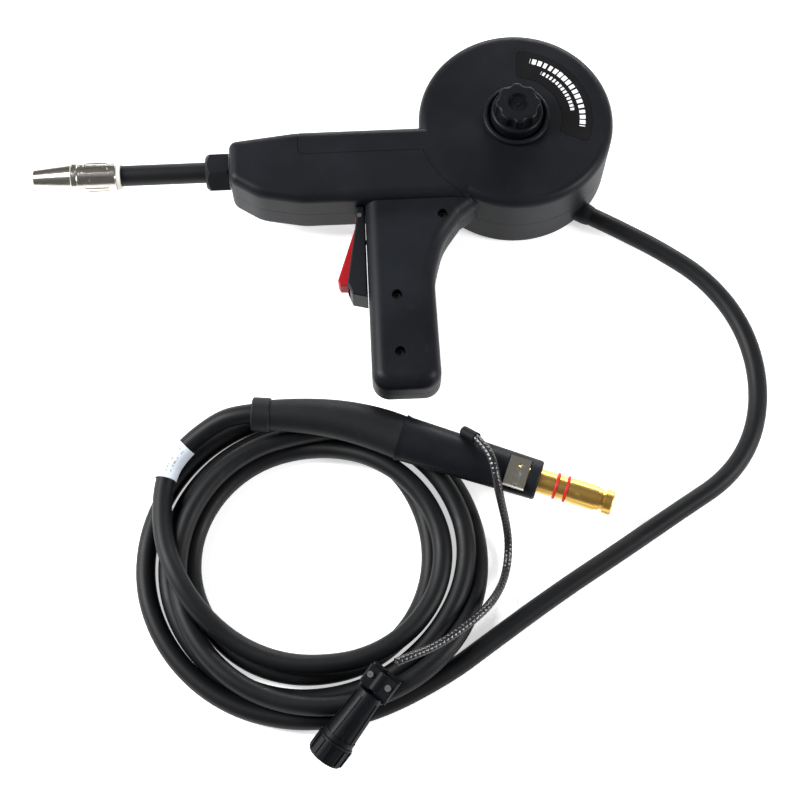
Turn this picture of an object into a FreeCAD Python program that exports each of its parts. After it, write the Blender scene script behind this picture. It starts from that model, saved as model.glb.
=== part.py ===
"""MIG spool gun lying on its right side, with its cable coiled beside it.

Millimetres. The origin is on the floor under the spool's axis, at the centre of the canister's
flat back. +Z is the spool's axis, the nozzle points along -X and the grip along -Y.
"""
import FreeCAD, Part
import math
import os

V = FreeCAD.Vector

# ---------------------------------------------------------------- driving dimensions
canister_r = 63.0        # outside radius of the spool canister
canister_h = 55.0        # height of the canister, back face to cover face
wall = 2.6               # moulded wall
rim_round = 6.0          # rounding of the cover's rim and of the gun body's edges
base_round = 4.0         # rounding of the canister's back edge
seam = 0.25              # visible gap between two mouldings

body_half = 21.0         # half the thickness of the gun body
grip_half = 16.0         # half the thickness of the grip
base_drop = 8.0          # the canister's own parting line lies this far below the body's
front_x = -186.0         # front face of the gun body
barrel_y = -20.0         # the barrel's line, off the spool's axis
body_rise = 17.0         # from the barrel's line up to the body's top wall
body_drop = 33.5         # from the barrel's line down to the body's belly
grip_front_x = -100.0    # front wall of the grip
grip_depth = 43.0        # front wall to back wall of the grip
grip_end_y = -179.5      # butt of the grip
grip_round = 8.5         # rounding of the grip's long edges

nozzle_length = 54.0
nozzle_mouth_r = 5.3
nozzle_socket_r = 8.0
barrel_length = 58.0     # bare jacket between the nozzle and the nut
jacket_r = 6.7
conductor_r = 4.6
nut_length = 15.0
nut_across = 23.4        # across the nut's flats

wire_r = 0.5
spool_width = 44.0
spool_bore_r = 8.0       # 16 mm arbor hole
spool_gap = 9.6          # canister wall to spool flange, where the hoses run
journal_gap = 0.08       # radial running clearance of the spool on its spindle
stud_r = 5.0
roll_r = 9.0
idler_r = 5.5
roll_x = -75.0
running = 0.06           # radial running clearance of the small pivots
fit = 0.05               # radial clearance of parts that seat in one another

cable_r = 6.0
lead_r = 2.5
coil_top = 21.0          # the coil lies two strands deep
pin_r = 7.7
relief_length = 5.0      # rubber sleeve past the gland

# ---------------------------------------------------------------- derived places
face_z = canister_h
split_z = face_z - body_half
base_h = split_z - base_drop
body_low_z = split_z - body_half
body_top_y = barrel_y + body_rise
belly_y = barrel_y - body_drop
grip_back_x = grip_front_x + grip_depth
chamber_r = canister_r - wall
chamber_floor = wall + 0.2
spool_r = chamber_r - spool_gap
spool_low = chamber_floor + 2.8
spool_top = spool_low + spool_width
spool_mid = spool_low + spool_width / 2
hub_face = spool_top - 8.0
winding_r = 0.827 * spool_r
core_r = 0.5 * spool_r
nut_x = front_x - 1.0 - nut_length
nozzle_back_x = nut_x - barrel_length
nozzle_tip_x = nozzle_back_x - nozzle_length
seam_r = canister_r + 2.0            # the cover's edge runs round the canister


# ---------------------------------------------------------------- shape helpers
def cylinder(r, low, high):
    """Cylinder between two points on its axis."""
    axis = high - low
    return Part.makeCylinder(r, axis.Length, low, axis)


def ring(r_out, r_in, low, high):
    """Tube between two points on its axis."""
    over = (high - low).normalize() * 1.0
    return cylinder(r_out, low, high).cut(cylinder(r_in, low - over, high + over))


def box(low, high):
    """Box between its lowest and highest corners."""
    size = V(*high) - V(*low)
    return Part.makeBox(size.x, size.y, size.z, V(*low))


def corner(before, at, after, radius):
    """Tangent points and middle of the arc that rounds one corner of a path."""
    a = (before - at).normalize()
    b = (after - at).normalize()
    half = a.getAngle(b) / 2
    reach = radius / math.tan(half)
    inward = (a + b).normalize()
    middle = at + inward * (radius / math.sin(half) - radius)
    return at + a * reach, middle, at + b * reach


def rounded(corners, z):
    """Closed wire at height z through corners (x, y, radius), each rounded by an arc."""
    points = [V(x, y, z) for x, y, _ in corners]
    count = len(points)
    arcs = []
    for i, (_, _, radius) in enumerate(corners):
        arcs.append(corner(points[i - 1], points[i], points[(i + 1) % count], radius))
    edges = []
    for i in range(count):
        start, middle, end = arcs[i]
        edges.append(Part.Arc(start, middle, end).toShape())
        edges.append(Part.LineSegment(end, arcs[(i + 1) % count][0]).toShape())
    return Part.Wire(edges)


def prism(corners, low, high):
    """Upright prism on a rounded outline."""
    return Part.Face(rounded(corners, low)).extrude(V(0, 0, high - low))


def polygon_prism(points, low, high):
    """Upright prism on a sharp-cornered outline of (x, y) points."""
    loop = [V(x, y, low) for x, y in points]
    return Part.Face(Part.makePolygon(loop + loop[:1])).extrude(V(0, 0, high - low))


def soften(shape, radius, heights):
    """Rounds the edges that lie flat at the given heights."""
    chosen = []
    for edge in shape.Edges:
        bounds = edge.BoundBox
        flat = bounds.ZLength < 0.01
        if flat and any(abs(bounds.ZMin - z) < 0.01 for z in heights):
            chosen.append(edge)
    return shape.makeFillet(radius, chosen)


def turned(profile, origin, axis):
    """Solid of revolution: profile points are (distance along the axis, radius)."""
    loop = [V(radius, 0, along) for along, radius in profile]
    face = Part.Face(Part.makePolygon(loop + loop[:1]))
    solid = face.revolve(V(0, 0, 0), V(0, 0, 1), 360)
    return placed(solid, origin, axis)


def placed(shape, origin, axis, spin=0.0):
    """Carries a shape made along +Z at the origin to a place and direction."""
    turn = FreeCAD.Rotation(V(0, 0, 1), axis)
    twist = FreeCAD.Rotation(V(0, 0, 1), spin)
    copy = shape.copy()
    copy.Placement = FreeCAD.Placement(origin, turn.multiply(twist))
    return copy


def on_barrel(profile):
    """Solid turned about the barrel's line: profile points are (x, radius)."""
    return turned(profile, V(0, barrel_y, split_z), V(1, 0, 0))


def barrel_point(x):
    return V(x, barrel_y, split_z)


def path(points, label=None):
    """Straight runs joined by tangent arcs, each as large as its two runs allow."""
    spots = [V(*p) for p in points]
    edges = []
    start = spots[0]
    radii = []
    for before, at, after in zip(spots, spots[1:], spots[2:]):
        shorter = min((at - before).Length, (after - at).Length)
        turn = math.pi - (before - at).getAngle(after - at)
        radius = 0.45 * shorter / math.tan(turn / 2)
        first, middle, last = corner(before, at, after, radius)
        edges.append(Part.LineSegment(start, first).toShape())
        edges.append(Part.Arc(first, middle, last).toShape())
        start = last
        radii.append(round(radius, 1))
    edges.append(Part.LineSegment(start, spots[-1]).toShape())
    wire = Part.Wire(edges)
    if label:
        print(label, "length", round(wire.Length, 1), "arc radii", radii)
    return wire


def tube(points, radius, label=None):
    """Round cord along a path, checked against its section times its length."""
    wire = path(points, label)
    heading = V(*points[1]) - V(*points[0])
    section = Part.Wire(Part.Circle(V(*points[0]), heading, radius).toShape())
    solid = wire.makePipeShell([section], True, False)
    if label:
        expected = math.pi * radius ** 2 * wire.Length
        print(label, "volume over section times length", round(solid.Volume / expected, 4))
    return solid


def largest(shape):
    """The biggest solid of a cut shape."""
    return max(shape.Solids, key=lambda s: s.Volume)


# ---------------------------------------------------------------- the mouldings' envelope
body_corners = [
    (front_x, body_top_y - 5.0, 5.0),
    (front_x, barrel_y - 16.0, 8.0),
    (front_x + 18.0, belly_y + 5.5, 25.0),
    (front_x + 46.0, belly_y, 40.0),
    (-30.0, belly_y, 3.0),
    (-30.0, body_top_y, 3.0),
    (front_x + 44.0, body_top_y, 80.0),
]
grip_corners = [
    (grip_front_x, belly_y + 24.0, 3.0),
    (grip_front_x, grip_end_y, 11.0),
    (grip_back_x, grip_end_y, 11.0),
    (grip_back_x - 1.2, -106.0, 60.0),
    (grip_back_x + 5.5, -81.5, 40.0),
    (grip_back_x + 18.0, -64.2, 5.0),
    (-19.0, -50.4, 1.0),
    (-19.0, belly_y + 24.0, 3.0),
]


def inset(corners, by):
    """The same outline moved inwards by one wall, as corner points and radii again."""
    count = len(corners)
    result = []
    points = [V(x, y, 0) for x, y, _ in corners]
    for i, (_, _, radius) in enumerate(corners):
        a = (points[i] - points[i - 1]).normalize()
        b = (points[(i + 1) % count] - points[i]).normalize()
        left_a = V(-a.y, a.x, 0)
        left_b = V(-b.y, b.x, 0)
        shift = (left_a + left_b) * (by / (1 + left_a.dot(left_b)))
        spot = points[i] + shift
        result.append((spot.x, spot.y, max(radius - by, 0.4)))
    return result


def canister_solid(r, low, high, top_round, low_round):
    disc = Part.makeCylinder(r, high - low, V(0, 0, low))
    disc = soften(disc, top_round, [high])
    return soften(disc, low_round, [low])


def make_shell():
    """Outer envelope of canister, body and grip, and the cavity inside one wall."""
    outer = canister_solid(canister_r, 0, face_z, rim_round, base_round)
    body = soften(prism(body_corners, body_low_z, face_z), rim_round, [body_low_z, face_z])
    grip_low = split_z - grip_half
    grip_high = split_z + grip_half
    grip = soften(prism(grip_corners, grip_low, grip_high), grip_round, [grip_low, grip_high])
    outer = outer.fuse([body, grip]).removeSplitter()

    inner_round = rim_round - wall
    inner = canister_solid(chamber_r, chamber_floor, face_z - wall, inner_round, 1.4)
    body_in = prism(inset(body_corners, wall), body_low_z + wall, face_z - wall)
    body_in = soften(body_in, inner_round, [body_low_z + wall, face_z - wall])
    grip_in = prism(inset(grip_corners, wall), grip_low + wall, grip_high - wall)
    grip_in = soften(grip_in, 0.65 * grip_round - 1.2, [grip_low + wall, grip_high - wall])
    inner = inner.fuse([body_in, grip_in])
    return outer, inner


def cover_region(gap):
    """Space of the cover, drawn in by a gap: a disc just past the canister, and the tongue."""
    tongue_y = barrel_y - 0.8 + gap
    tongue_x = front_x + 44.5 + gap
    disc = Part.makeCylinder(seam_r - gap, slab, V(0, 0, -1))
    tongue = prism([
        (tongue_x, body_top_y + 12.0, 2.0),
        (tongue_x, tongue_y, 4.0),
        (-30.0, tongue_y, 2.0),
        (-30.0, body_top_y + 12.0, 2.0),
    ], -1.0, slab - 1.0)
    return disc.fuse(tongue)


slab = 400.0
outer, inner = make_shell()
shell = outer.cut(inner)
canister_zone = Part.makeCylinder(canister_r + 0.05, 2 * slab, V(0, 0, -slab))
above_body = box((-slab, -slab, split_z), (slab, slab, slab))
above_base = Part.makeCylinder(canister_r + 0.05, slab, V(0, 0, base_h))
upper = above_body.fuse(above_base)
cover_prism = cover_region(0)
cover_hole = cover_region(seam)

# ---------------------------------------------------------------- screws and bosses
screw_spots = [(-51.0, -64.4), (-82.3, -119.0), (-82.0, -157.0)]
screw_r = 1.5
head_r = 2.9
head_z = split_z + grip_half - 6.0
screw_tip_z = split_z - 9.0


def screw(x, y):
    """Pan head screw with a hexagon socket, head up."""
    head = Part.makeCylinder(head_r, 2.3, V(x, y, head_z))
    head = soften(head, 0.8, [head_z + 2.3])
    shank = Part.makeCylinder(screw_r, head_z - screw_tip_z, V(x, y, screw_tip_z))
    socket = hexagon(2.5, head_z + 0.9, head_z + 3.0, x, y)
    return head.fuse(shank).cut(socket)


def hexagon(across, low, high, x=0.0, y=0.0):
    """Upright hexagonal prism by its size across flats."""
    reach = across / math.sqrt(3)
    points = [(x + reach * math.cos(math.radians(60 * k)),
               y + reach * math.sin(math.radians(60 * k))) for k in range(6)]
    return polygon_prism(points, low, high)


def bosses(half):
    """Screw pillars of one housing half, inside its walls."""
    pillars = []
    for x, y in screw_spots:
        if half == "left":
            pillar = Part.makeCylinder(5.0, body_half, V(x, y, split_z))
        else:
            pillar = Part.makeCylinder(4.2, body_half, V(x, y, body_low_z))
        pillars.append(pillar.common(outer))
    return pillars


def screw_holes(half):
    holes = []
    for x, y in screw_spots:
        if half == "left":
            holes.append(Part.makeCylinder(head_r + 0.4, 20.0, V(x, y, head_z)))
            holes.append(Part.makeCylinder(screw_r + 0.2, 20.0, V(x, y, split_z - 1.0)))
        else:
            low = screw_tip_z - 1.0
            holes.append(Part.makeCylinder(screw_r + fit, split_z + 1.0 - low, V(x, y, low)))
    return holes


# ---------------------------------------------------------------- trigger group places
trigger_pivot = V(grip_front_x - 3.8, belly_y - 7.0, split_z)
guard_low_z = split_z - 10.0
guard_high_z = split_z + 10.0
trigger_half = 5.7
plunger_y = trigger_pivot.y - 14.5
plunger_r = 1.6
bushing_r = 9.5
exit_angle = math.radians(-47.5)     # where the cable meets the canister's wall
exit_turn = math.radians(-30.0)      # the way it leaves
exit_dir = V(math.cos(exit_turn), math.sin(exit_turn), 0)
exit_z = 8.8
exit_spot = V(canister_r * math.cos(exit_angle), canister_r * math.sin(exit_angle), exit_z)
gland_r = 6.9


def on_exit(along):
    """Point on the gland's axis, by its distance past the canister's wall."""
    return exit_spot + exit_dir * along




def make_housings():
    """Left and right halves of gun body and grip."""
    barrel_hole = cylinder(bushing_r + fit, barrel_point(front_x - 5), barrel_point(front_x + 12))
    plunger_low = V(grip_front_x - 5, plunger_y, split_z)
    plunger_hole = cylinder(plunger_r + 0.35, plunger_low, plunger_low + V(14, 0, 0))
    left = shell.common(upper).cut(cover_prism)
    left = left.fuse(bosses("left")).cut(Part.makeCompound(screw_holes("left")))
    right = shell.cut(above_body).cut(canister_zone)
    right = right.fuse(bosses("right")).cut(Part.makeCompound(screw_holes("right")))
    groove = box((-slab, -slab, split_z - seam), (slab, slab, split_z))
    groove = groove.cut(Part.makeCylinder(canister_r + 0.05, 2 * slab, V(0, 0, -slab)))
    right = right.cut(groove)
    cutters = Part.makeCompound([barrel_hole, plunger_hole])
    return largest(left.cut(cutters)), largest(right.cut(cutters))


# ---------------------------------------------------------------- canister
collar_r = 21.6          # raised ring round the knob
collar_in_r = 18.4
collar_rise = 3.4
collar_floor = face_z - 1.6


def make_base():
    """Back half of the canister, a cup with the spindle's seat and the cable's hole."""
    lower = box((-slab, -slab, -1), (slab, slab, base_h - seam))
    cup = shell.common(canister_zone).common(lower)
    seat = ring(19.0, 16.2, V(0, 0, chamber_floor - 0.5), V(0, 0, chamber_floor + 1.2))
    hole = cylinder(gland_r + fit, on_exit(-9.0), on_exit(12.0))
    return largest(cup.fuse(seat).cut(hole))


badge_low_r = 29.5
badge_high_r = 49.0
badge_from = -24.0
badge_to = 86.0


def arc_plate(grow, low, high):
    """Plate between two radii and two angles about the spool's axis, ends rounded."""
    r_in = badge_low_r - grow
    r_out = badge_high_r + grow
    swell = math.degrees(grow / r_out)
    plate = Part.makeCylinder(r_out, high - low, V(0, 0, low), V(0, 0, 1),
                              badge_to - badge_from + 2 * swell)
    plate.rotate(V(0, 0, 0), V(0, 0, 1), badge_from - swell)
    plate = plate.cut(Part.makeCylinder(r_in, high - low + 2, V(0, 0, low - 1)))
    upright = [e for e in plate.Edges if e.BoundBox.ZLength > (high - low) * 0.9
               and e.BoundBox.XLength + e.BoundBox.YLength < 0.01]
    return plate.makeFillet(3.0, upright)


def make_cover():
    """Canister cover in one piece with the tongue over the drive."""
    piece = shell.common(upper).common(cover_hole)
    piece = piece.cut(box((-slab, -slab, -1), (slab, slab, base_h)))
    pad = Part.makeCylinder(collar_r + 2.5, face_z - 51.6, V(0, 0, 51.6))
    lip = ring(collar_r, collar_in_r - 0.01, V(0, 0, face_z - 1), V(0, 0, face_z + collar_rise))
    lip = soften(lip, 1.4, [face_z + collar_rise])
    recess = Part.makeCylinder(collar_in_r, 8.0, V(0, 0, collar_floor))
    hole = Part.makeCylinder(stud_r + 0.5, 20.0, V(0, 0, face_z - 12))
    pocket = arc_plate(0.25, face_z - 0.3, face_z + 1)
    return largest(piece.fuse([pad, lip]).cut(recess).cut(hole).cut(pocket))


knob_low = collar_floor + 0.4
knob_skirt_r = 16.6
knob_lobe_r = 14.4
knob_step = face_z + 9.0
knob_top = face_z + 18.0
stud_top = knob_top - 6.0


def make_knob():
    """Round skirt with an eight-lobed grip on it and a dished top, closed over the stud."""
    skirt = Part.makeCylinder(knob_skirt_r, knob_step - knob_low, V(0, 0, knob_low))
    skirt = soften(skirt, 1.8, [knob_step])
    grip = Part.makeCylinder(knob_lobe_r, knob_top - knob_low, V(0, 0, knob_low))
    for k in range(8):
        angle = math.radians(45 * k + 22.5)
        spot = V((knob_lobe_r + 3.4) * math.cos(angle), (knob_lobe_r + 3.4) * math.sin(angle), 0)
        flute = Part.makeCylinder(5.0, 40.0, spot + V(0, 0, knob_step))
        grip = grip.cut(flute)
    grip = soften(grip, 1.6, [knob_top])
    knob = skirt.fuse(grip)
    dish = turned([(knob_top - 2.4, 0), (knob_top - 2.4, 5.6), (knob_top + 1, 7.2),
                   (knob_top + 1, 0)], V(0, 0, 0), V(0, 0, 1))
    pip = turned([(knob_top - 3.0, 0), (knob_top - 3.0, 1.6), (knob_top - 1.8, 1.3),
                  (knob_top - 1.8, 0)], V(0, 0, 0), V(0, 0, 1))
    bore = Part.makeCylinder(stud_r + running, stud_top + 0.6 - (knob_low - 1), V(0, 0, knob_low - 1))
    return knob.cut(dish).fuse(pip).cut(bore)


def make_spindle():
    """Flanged axle of the spool with a threaded stud that the knob screws on."""
    shoulder = hub_face + 0.1
    journal_r = spool_bore_r - journal_gap
    profile = [(chamber_floor, 0), (chamber_floor, 16.0), (chamber_floor + 2.3, 16.0),
               (chamber_floor + 2.3, journal_r), (shoulder, journal_r), (shoulder, stud_r),
               (stud_top - 1.0, stud_r), (stud_top, stud_r - 1.0), (stud_top, 0)]
    return turned(profile, V(0, 0, 0), V(0, 0, 1))


def make_spool():
    """Moulded wire spool: arbor, web, core and two flanges with windows."""
    flange = 2.2
    web = spool_low + 14.0
    profile = [
        (spool_low, spool_bore_r), (spool_low, spool_bore_r + 2.6), (web, spool_bore_r + 2.6),
        (web, core_r - 2.4), (spool_low, core_r - 2.4), (spool_low, spool_r),
        (spool_low + flange, spool_r), (spool_low + flange, core_r),
        (spool_top - flange, core_r), (spool_top - flange, spool_r), (spool_top, spool_r),
        (spool_top, core_r - 2.4), (web + 2.4, core_r - 2.4), (web + 2.4, spool_bore_r + 2.6),
        (hub_face, spool_bore_r + 2.6), (hub_face, spool_bore_r),
    ]
    spool = turned(profile, V(0, 0, 0), V(0, 0, 1))
    windows = []
    for k in range(6):
        angle = math.radians(60 * k)
        middle = (core_r + spool_r) / 2 + 2.0
        spot = V(middle * math.cos(angle), middle * math.sin(angle), spool_low - 1)
        windows.append(Part.makeCylinder(5.5, spool_width + 2, spot))
    drive_slot = Part.makeCylinder(2.0, flange * 2, V(core_r + 6.0, 0, spool_low - 1))
    return spool.cut(Part.makeCompound(windows + [drive_slot]))


def make_winding():
    low = V(0, 0, spool_low + 2.2 + 0.1)
    high = V(0, 0, spool_top - 2.2 - 0.1)
    return ring(winding_r, core_r + 0.1, low, high)


def make_brake():
    """Dished friction washer and the nut that keep the spool from over-running."""
    low = hub_face + 0.3
    washer = turned([(low, stud_r + fit), (low, 10.0), (low + 1.2, 13.4), (low + 2.6, 13.4),
                     (low + 2.6, stud_r + fit)], V(0, 0, 0), V(0, 0, 1))
    nut = hexagon(15.0, low + 2.7, low + 7.0)
    nut = nut.cut(Part.makeCylinder(stud_r + fit, 20.0, V(0, 0, low)))
    return washer, nut


# ---------------------------------------------------------------- barrel and nozzle
band_x = nozzle_tip_x + 24.8
insulator_front_x = nozzle_back_x - 20.0


def make_nozzle():
    """Plated gas nozzle: taper, band and a cylinder with grip flats."""
    mouth = nozzle_tip_x + 13.0
    profile = [
        (nozzle_tip_x, nozzle_mouth_r), (nozzle_tip_x, 6.1), (nozzle_tip_x + 0.5, 6.5),
        (band_x, 9.3), (band_x, 9.7), (band_x + 0.5, 10.1), (band_x + 4.0, 10.1),
        (band_x + 4.5, 9.7), (band_x + 4.5, 9.45), (nozzle_back_x - 0.6, 9.45),
        (nozzle_back_x, 8.9), (nozzle_back_x, nozzle_socket_r),
        (mouth + 4.5, nozzle_socket_r), (mouth, nozzle_mouth_r),
    ]
    nozzle = on_barrel(profile)
    flats = []
    for k in range(10):
        flat = box((band_x + 9.0, -1.5, 8.95), (nozzle_back_x - 5.0, 1.5, 12.0))
        flat = flat.makeFillet(1.2, [e for e in flat.Edges if e.BoundBox.ZLength > 2.0])
        flat.rotate(V(0, 0, 0), V(1, 0, 0), 36.0 * k)
        flat.translate(barrel_point(0))
        flats.append(flat)
    return nozzle.cut(Part.makeCompound(flats))


def make_front():
    """Contact tip, gas diffuser, insulator, liner, conductor tube and jacket."""
    tip_back = nozzle_tip_x + 37.0
    diffuser_back = nozzle_back_x - 1.0
    tip = on_barrel([
        (nozzle_tip_x + 2.0, 0.62), (nozzle_tip_x + 2.0, 2.2), (nozzle_tip_x + 6.0, 3.6),
        (tip_back - 10.0, 3.6), (tip_back - 10.0, 3.0), (tip_back, 3.0), (tip_back, 0.62)])
    diffuser = on_barrel([
        (tip_back - 9.9, 3.0 + fit), (tip_back - 9.9, 6.4), (diffuser_back, 6.4),
        (diffuser_back, conductor_r + fit), (diffuser_back - 8.0, conductor_r + fit),
        (diffuser_back - 8.0, 3.0 + fit)])
    for k in range(4):
        hole = cylinder(1.1, V(tip_back - 7.0, 0, 0), V(tip_back - 7.0, 0, 12.0))
        hole.rotate(V(0, 0, 0), V(1, 0, 0), 90.0 * k + 45.0)
        hole.translate(barrel_point(0))
        diffuser = diffuser.cut(hole)
    insulator = on_barrel([
        (insulator_front_x, 6.4 + fit), (insulator_front_x, nozzle_socket_r - fit),
        (nozzle_back_x + 0.3, nozzle_socket_r - fit), (nozzle_back_x + 0.3, 9.0),
        (nozzle_back_x + 2.6, 9.0), (nozzle_back_x + 2.6, jacket_r),
        (nozzle_back_x + 0.9, jacket_r), (nozzle_back_x + 0.9, 6.4 + fit)])
    conductor = ring(conductor_r, 2.2, barrel_point(diffuser_back - 8.0), barrel_point(block_x + 9))
    liner = ring(2.0, 0.8, barrel_point(tip_back + 0.4), barrel_point(block_x + 20))
    jacket = ring(jacket_r, conductor_r + fit, barrel_point(nozzle_back_x + 1.0),
                  barrel_point(front_x + 14.0))
    return tip, diffuser, insulator, conductor, liner, jacket


block_x = -151.0


def make_nut():
    """Hexagonal barrel nut with a turned nose and collar."""
    reach = nut_across / math.sqrt(3)
    blank = hexagon(nut_across, 0, nut_length)
    nose = turned([(0, 0), (0, reach - 3.2), (3.5, reach + 0.05), (nut_length - 1.0, reach + 0.05),
                   (nut_length, reach - 1.0), (nut_length, 0)], V(0, 0, 0), V(0, 0, 1))
    nut = blank.common(nose)
    nut = placed(nut, barrel_point(nut_x), V(1, 0, 0), 30.0)
    return nut.cut(cylinder(jacket_r + fit, barrel_point(nut_x - 2), barrel_point(front_x + 2)))


def make_bushing():
    """Insulating bush that carries the jacket in the front wall."""
    flange = ring(bushing_r + 1.6, jacket_r + fit, barrel_point(front_x - 0.95),
                  barrel_point(front_x - 0.05))
    sleeve = ring(bushing_r, jacket_r + fit, barrel_point(front_x - 0.1), barrel_point(front_x + 12))
    return flange.fuse(sleeve)


def make_block():
    """Brass block that joins conductor tube, power lead and gas hose."""
    block = box((block_x, barrel_y - 6.5, split_z - 8.0), (block_x + 24.0, barrel_y + 6.5, split_z + 8.0))
    upright = [e for e in block.Edges if e.BoundBox.XLength > 20]
    block = block.makeChamfer(1.0, upright)
    seat = cylinder(conductor_r + fit, barrel_point(block_x - 1), barrel_point(block_x + 9))
    through = cylinder(2.0 + fit, barrel_point(block_x), barrel_point(block_x + 30))
    return block.cut(seat).cut(through)


# ---------------------------------------------------------------- wire drive
drive_y = barrel_y - wire_r - roll_r + 0.4
idler_y = barrel_y + wire_r + idler_r + 0.1
roll_low = split_z - 3.7
roll_high = split_z + 3.7
plate_low = split_z - 7.2
plate_high = split_z - 4.2
arm_low = split_z + 4.2
arm_high = arm_low + 3.0
arm_pivot = V(roll_x - 24.0, barrel_y + 6.6, 0)
head_low = split_z - 12.5
motor_y = belly_y + wall + 1.1 + 11.3
motor_r = 11.3
motor_x = front_x + 41.0
motor_length = 35.0


def make_motor():
    """Motor can with its rear boss, and the gear head whose shaft stands under the roll."""
    stage_x = motor_x + motor_length
    can = cylinder(motor_r, V(motor_x, motor_y, split_z), V(stage_x, motor_y, split_z))
    boss = cylinder(4.5, V(motor_x - 3, motor_y, split_z), V(motor_x, motor_y, split_z))
    motor = can.fuse(boss)
    stage = cylinder(motor_r, V(stage_x, motor_y, split_z), V(stage_x + 12.0, motor_y, split_z))
    head = box((stage_x + 11.0, motor_y - 9.0, head_low), (roll_x + 10.0, drive_y + 9.0, plate_high))
    neck = box((stage_x + 11.0, motor_y - 9.0, head_low), (roll_x - 11.0, motor_y + 6.0, split_z + 9))
    gearbox = stage.fuse([head, neck])
    shaft_hole = Part.makeCylinder(2.5 + running, 8.0, V(roll_x, drive_y, head_low + 2.5))
    return motor, gearbox.cut(shaft_hole)


def make_rolls():
    """Grooved drive roll on its shaft, its screw, and the idler roll."""
    shaft = Part.makeCylinder(2.5, roll_high - head_low - 3.0, V(roll_x, drive_y, head_low + 3.0))
    flat = box((roll_x + 1.9, drive_y - 3, roll_low), (roll_x + 3, drive_y + 3, roll_high + 1))
    shaft = shaft.cut(flat)
    groove = 0.7
    roll = turned([
        (roll_low, 2.5 + fit), (roll_low, roll_r - 0.4), (roll_low + 0.4, roll_r),
        (split_z - groove, roll_r), (split_z, roll_r - groove), (split_z + groove, roll_r),
        (roll_high - 0.4, roll_r), (roll_high, roll_r - 0.4), (roll_high, 2.5 + fit)],
        V(roll_x, drive_y, 0), V(0, 0, 1))
    screw_head = Part.makeCylinder(4.2, 2.0, V(roll_x, drive_y, roll_high + 0.0))
    socket = hexagon(2.5, roll_high + 0.8, roll_high + 3, roll_x, drive_y)
    screw_head = soften(screw_head, 0.5, [roll_high + 2.0]).cut(socket)
    idler = ring(idler_r, 1.5 + running, V(roll_x, idler_y, roll_low + 0.2),
                 V(roll_x, idler_y, roll_high - 0.1))
    return shaft, roll, screw_head, idler


def make_arm():
    """Pressure arm with the idler's riveted pin, and the arm's torsion spring."""
    ends = [V(arm_pivot.x, arm_pivot.y, arm_low), V(roll_x, idler_y, arm_low)]
    arm = Part.makeCylinder(4.6, 3.0, ends[0]).fuse(Part.makeCylinder(3.4, 3.0, ends[1]))
    bar = box((ends[0].x, barrel_y + 3.4, arm_low), (ends[1].x, barrel_y + 9.4, arm_high))
    arm = arm.fuse(bar)
    arm = arm.cut(Part.makeCylinder(2.0 + running, 10.0, ends[0] - V(0, 0, 2)))
    pin = Part.makeCylinder(1.5, arm_high + 0.6 - roll_low - 0.3, V(roll_x, idler_y, roll_low + 0.3))
    arm = arm.fuse(pin)
    spring = ring(4.0, 2.3, V(arm_pivot.x, arm_pivot.y, plate_high + 0.2),
                  V(arm_pivot.x, arm_pivot.y, arm_low - 0.3))
    return arm, spring


guide_r = 2.3


def make_feed_plate(gearbox):
    """Steel plate on the gear head: two lugs hold the wire guides, a riveted post the arm."""
    plate = box((arm_pivot.x - 8, barrel_y - 14.0, plate_low), (roll_x + 26, barrel_y + 11, plate_high))
    upright = [e for e in plate.Edges if e.BoundBox.ZLength > 2.5]
    plate = plate.makeFillet(3.0, upright)
    for low_x in (roll_x - 19.0, roll_x + 11.0):
        lug = box((low_x, barrel_y - 4.0, plate_high), (low_x + 6.0, barrel_y + 4.0, split_z + 3.6))
        plate = plate.fuse(lug)
    clear = box((gearbox.BoundBox.XMin - 1, motor_y - 9.3, head_low),
                (roll_x + 10.3, drive_y + 9.3, plate_high))
    bore = cylinder(guide_r + fit, barrel_point(roll_x - 30), barrel_point(roll_x + 30))
    post_foot = V(arm_pivot.x, arm_pivot.y, plate_low)
    post = Part.makeCylinder(2.0, arm_high + 0.6 - plate_low, post_foot)
    post_head = Part.makeCylinder(3.2, 1.0, V(arm_pivot.x, arm_pivot.y, arm_high + 0.3))
    return largest(plate.cut(clear).cut(bore).fuse([post, post_head]))


def make_guides():
    outlet = ring(guide_r, 0.8, barrel_point(block_x + 25.0), barrel_point(roll_x - 8.5))
    inlet = on_barrel([
        (roll_x + 8.5, 0.8), (roll_x + 8.5, guide_r), (roll_x + 24.0, guide_r),
        (roll_x + 24.0, 2.0), (roll_x + 21.0, 0.8)])
    return outlet, inlet


def make_wire():
    """Welding wire from the winding, through guides and rolls, to the tip."""
    guide_mouth = V(roll_x + 24.0, barrel_y, split_z)
    reach = math.hypot(guide_mouth.x, guide_mouth.y)
    bearing = math.atan2(guide_mouth.y, guide_mouth.x)
    leave_r = winding_r + wire_r + 0.3
    leave = bearing + math.acos(leave_r / reach)
    start = V(leave_r * math.cos(leave), leave_r * math.sin(leave), spool_mid)
    points = [tuple(start), tuple(guide_mouth), (nozzle_tip_x + 4.0, barrel_y, split_z)]
    first = V(*points[0])
    bend = V(*points[1])
    slant = cylinder(wire_r, first, bend)
    straight = cylinder(wire_r, bend, V(*points[2]))
    return slant.fuse([straight, Part.makeSphere(wire_r, bend)])


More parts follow.
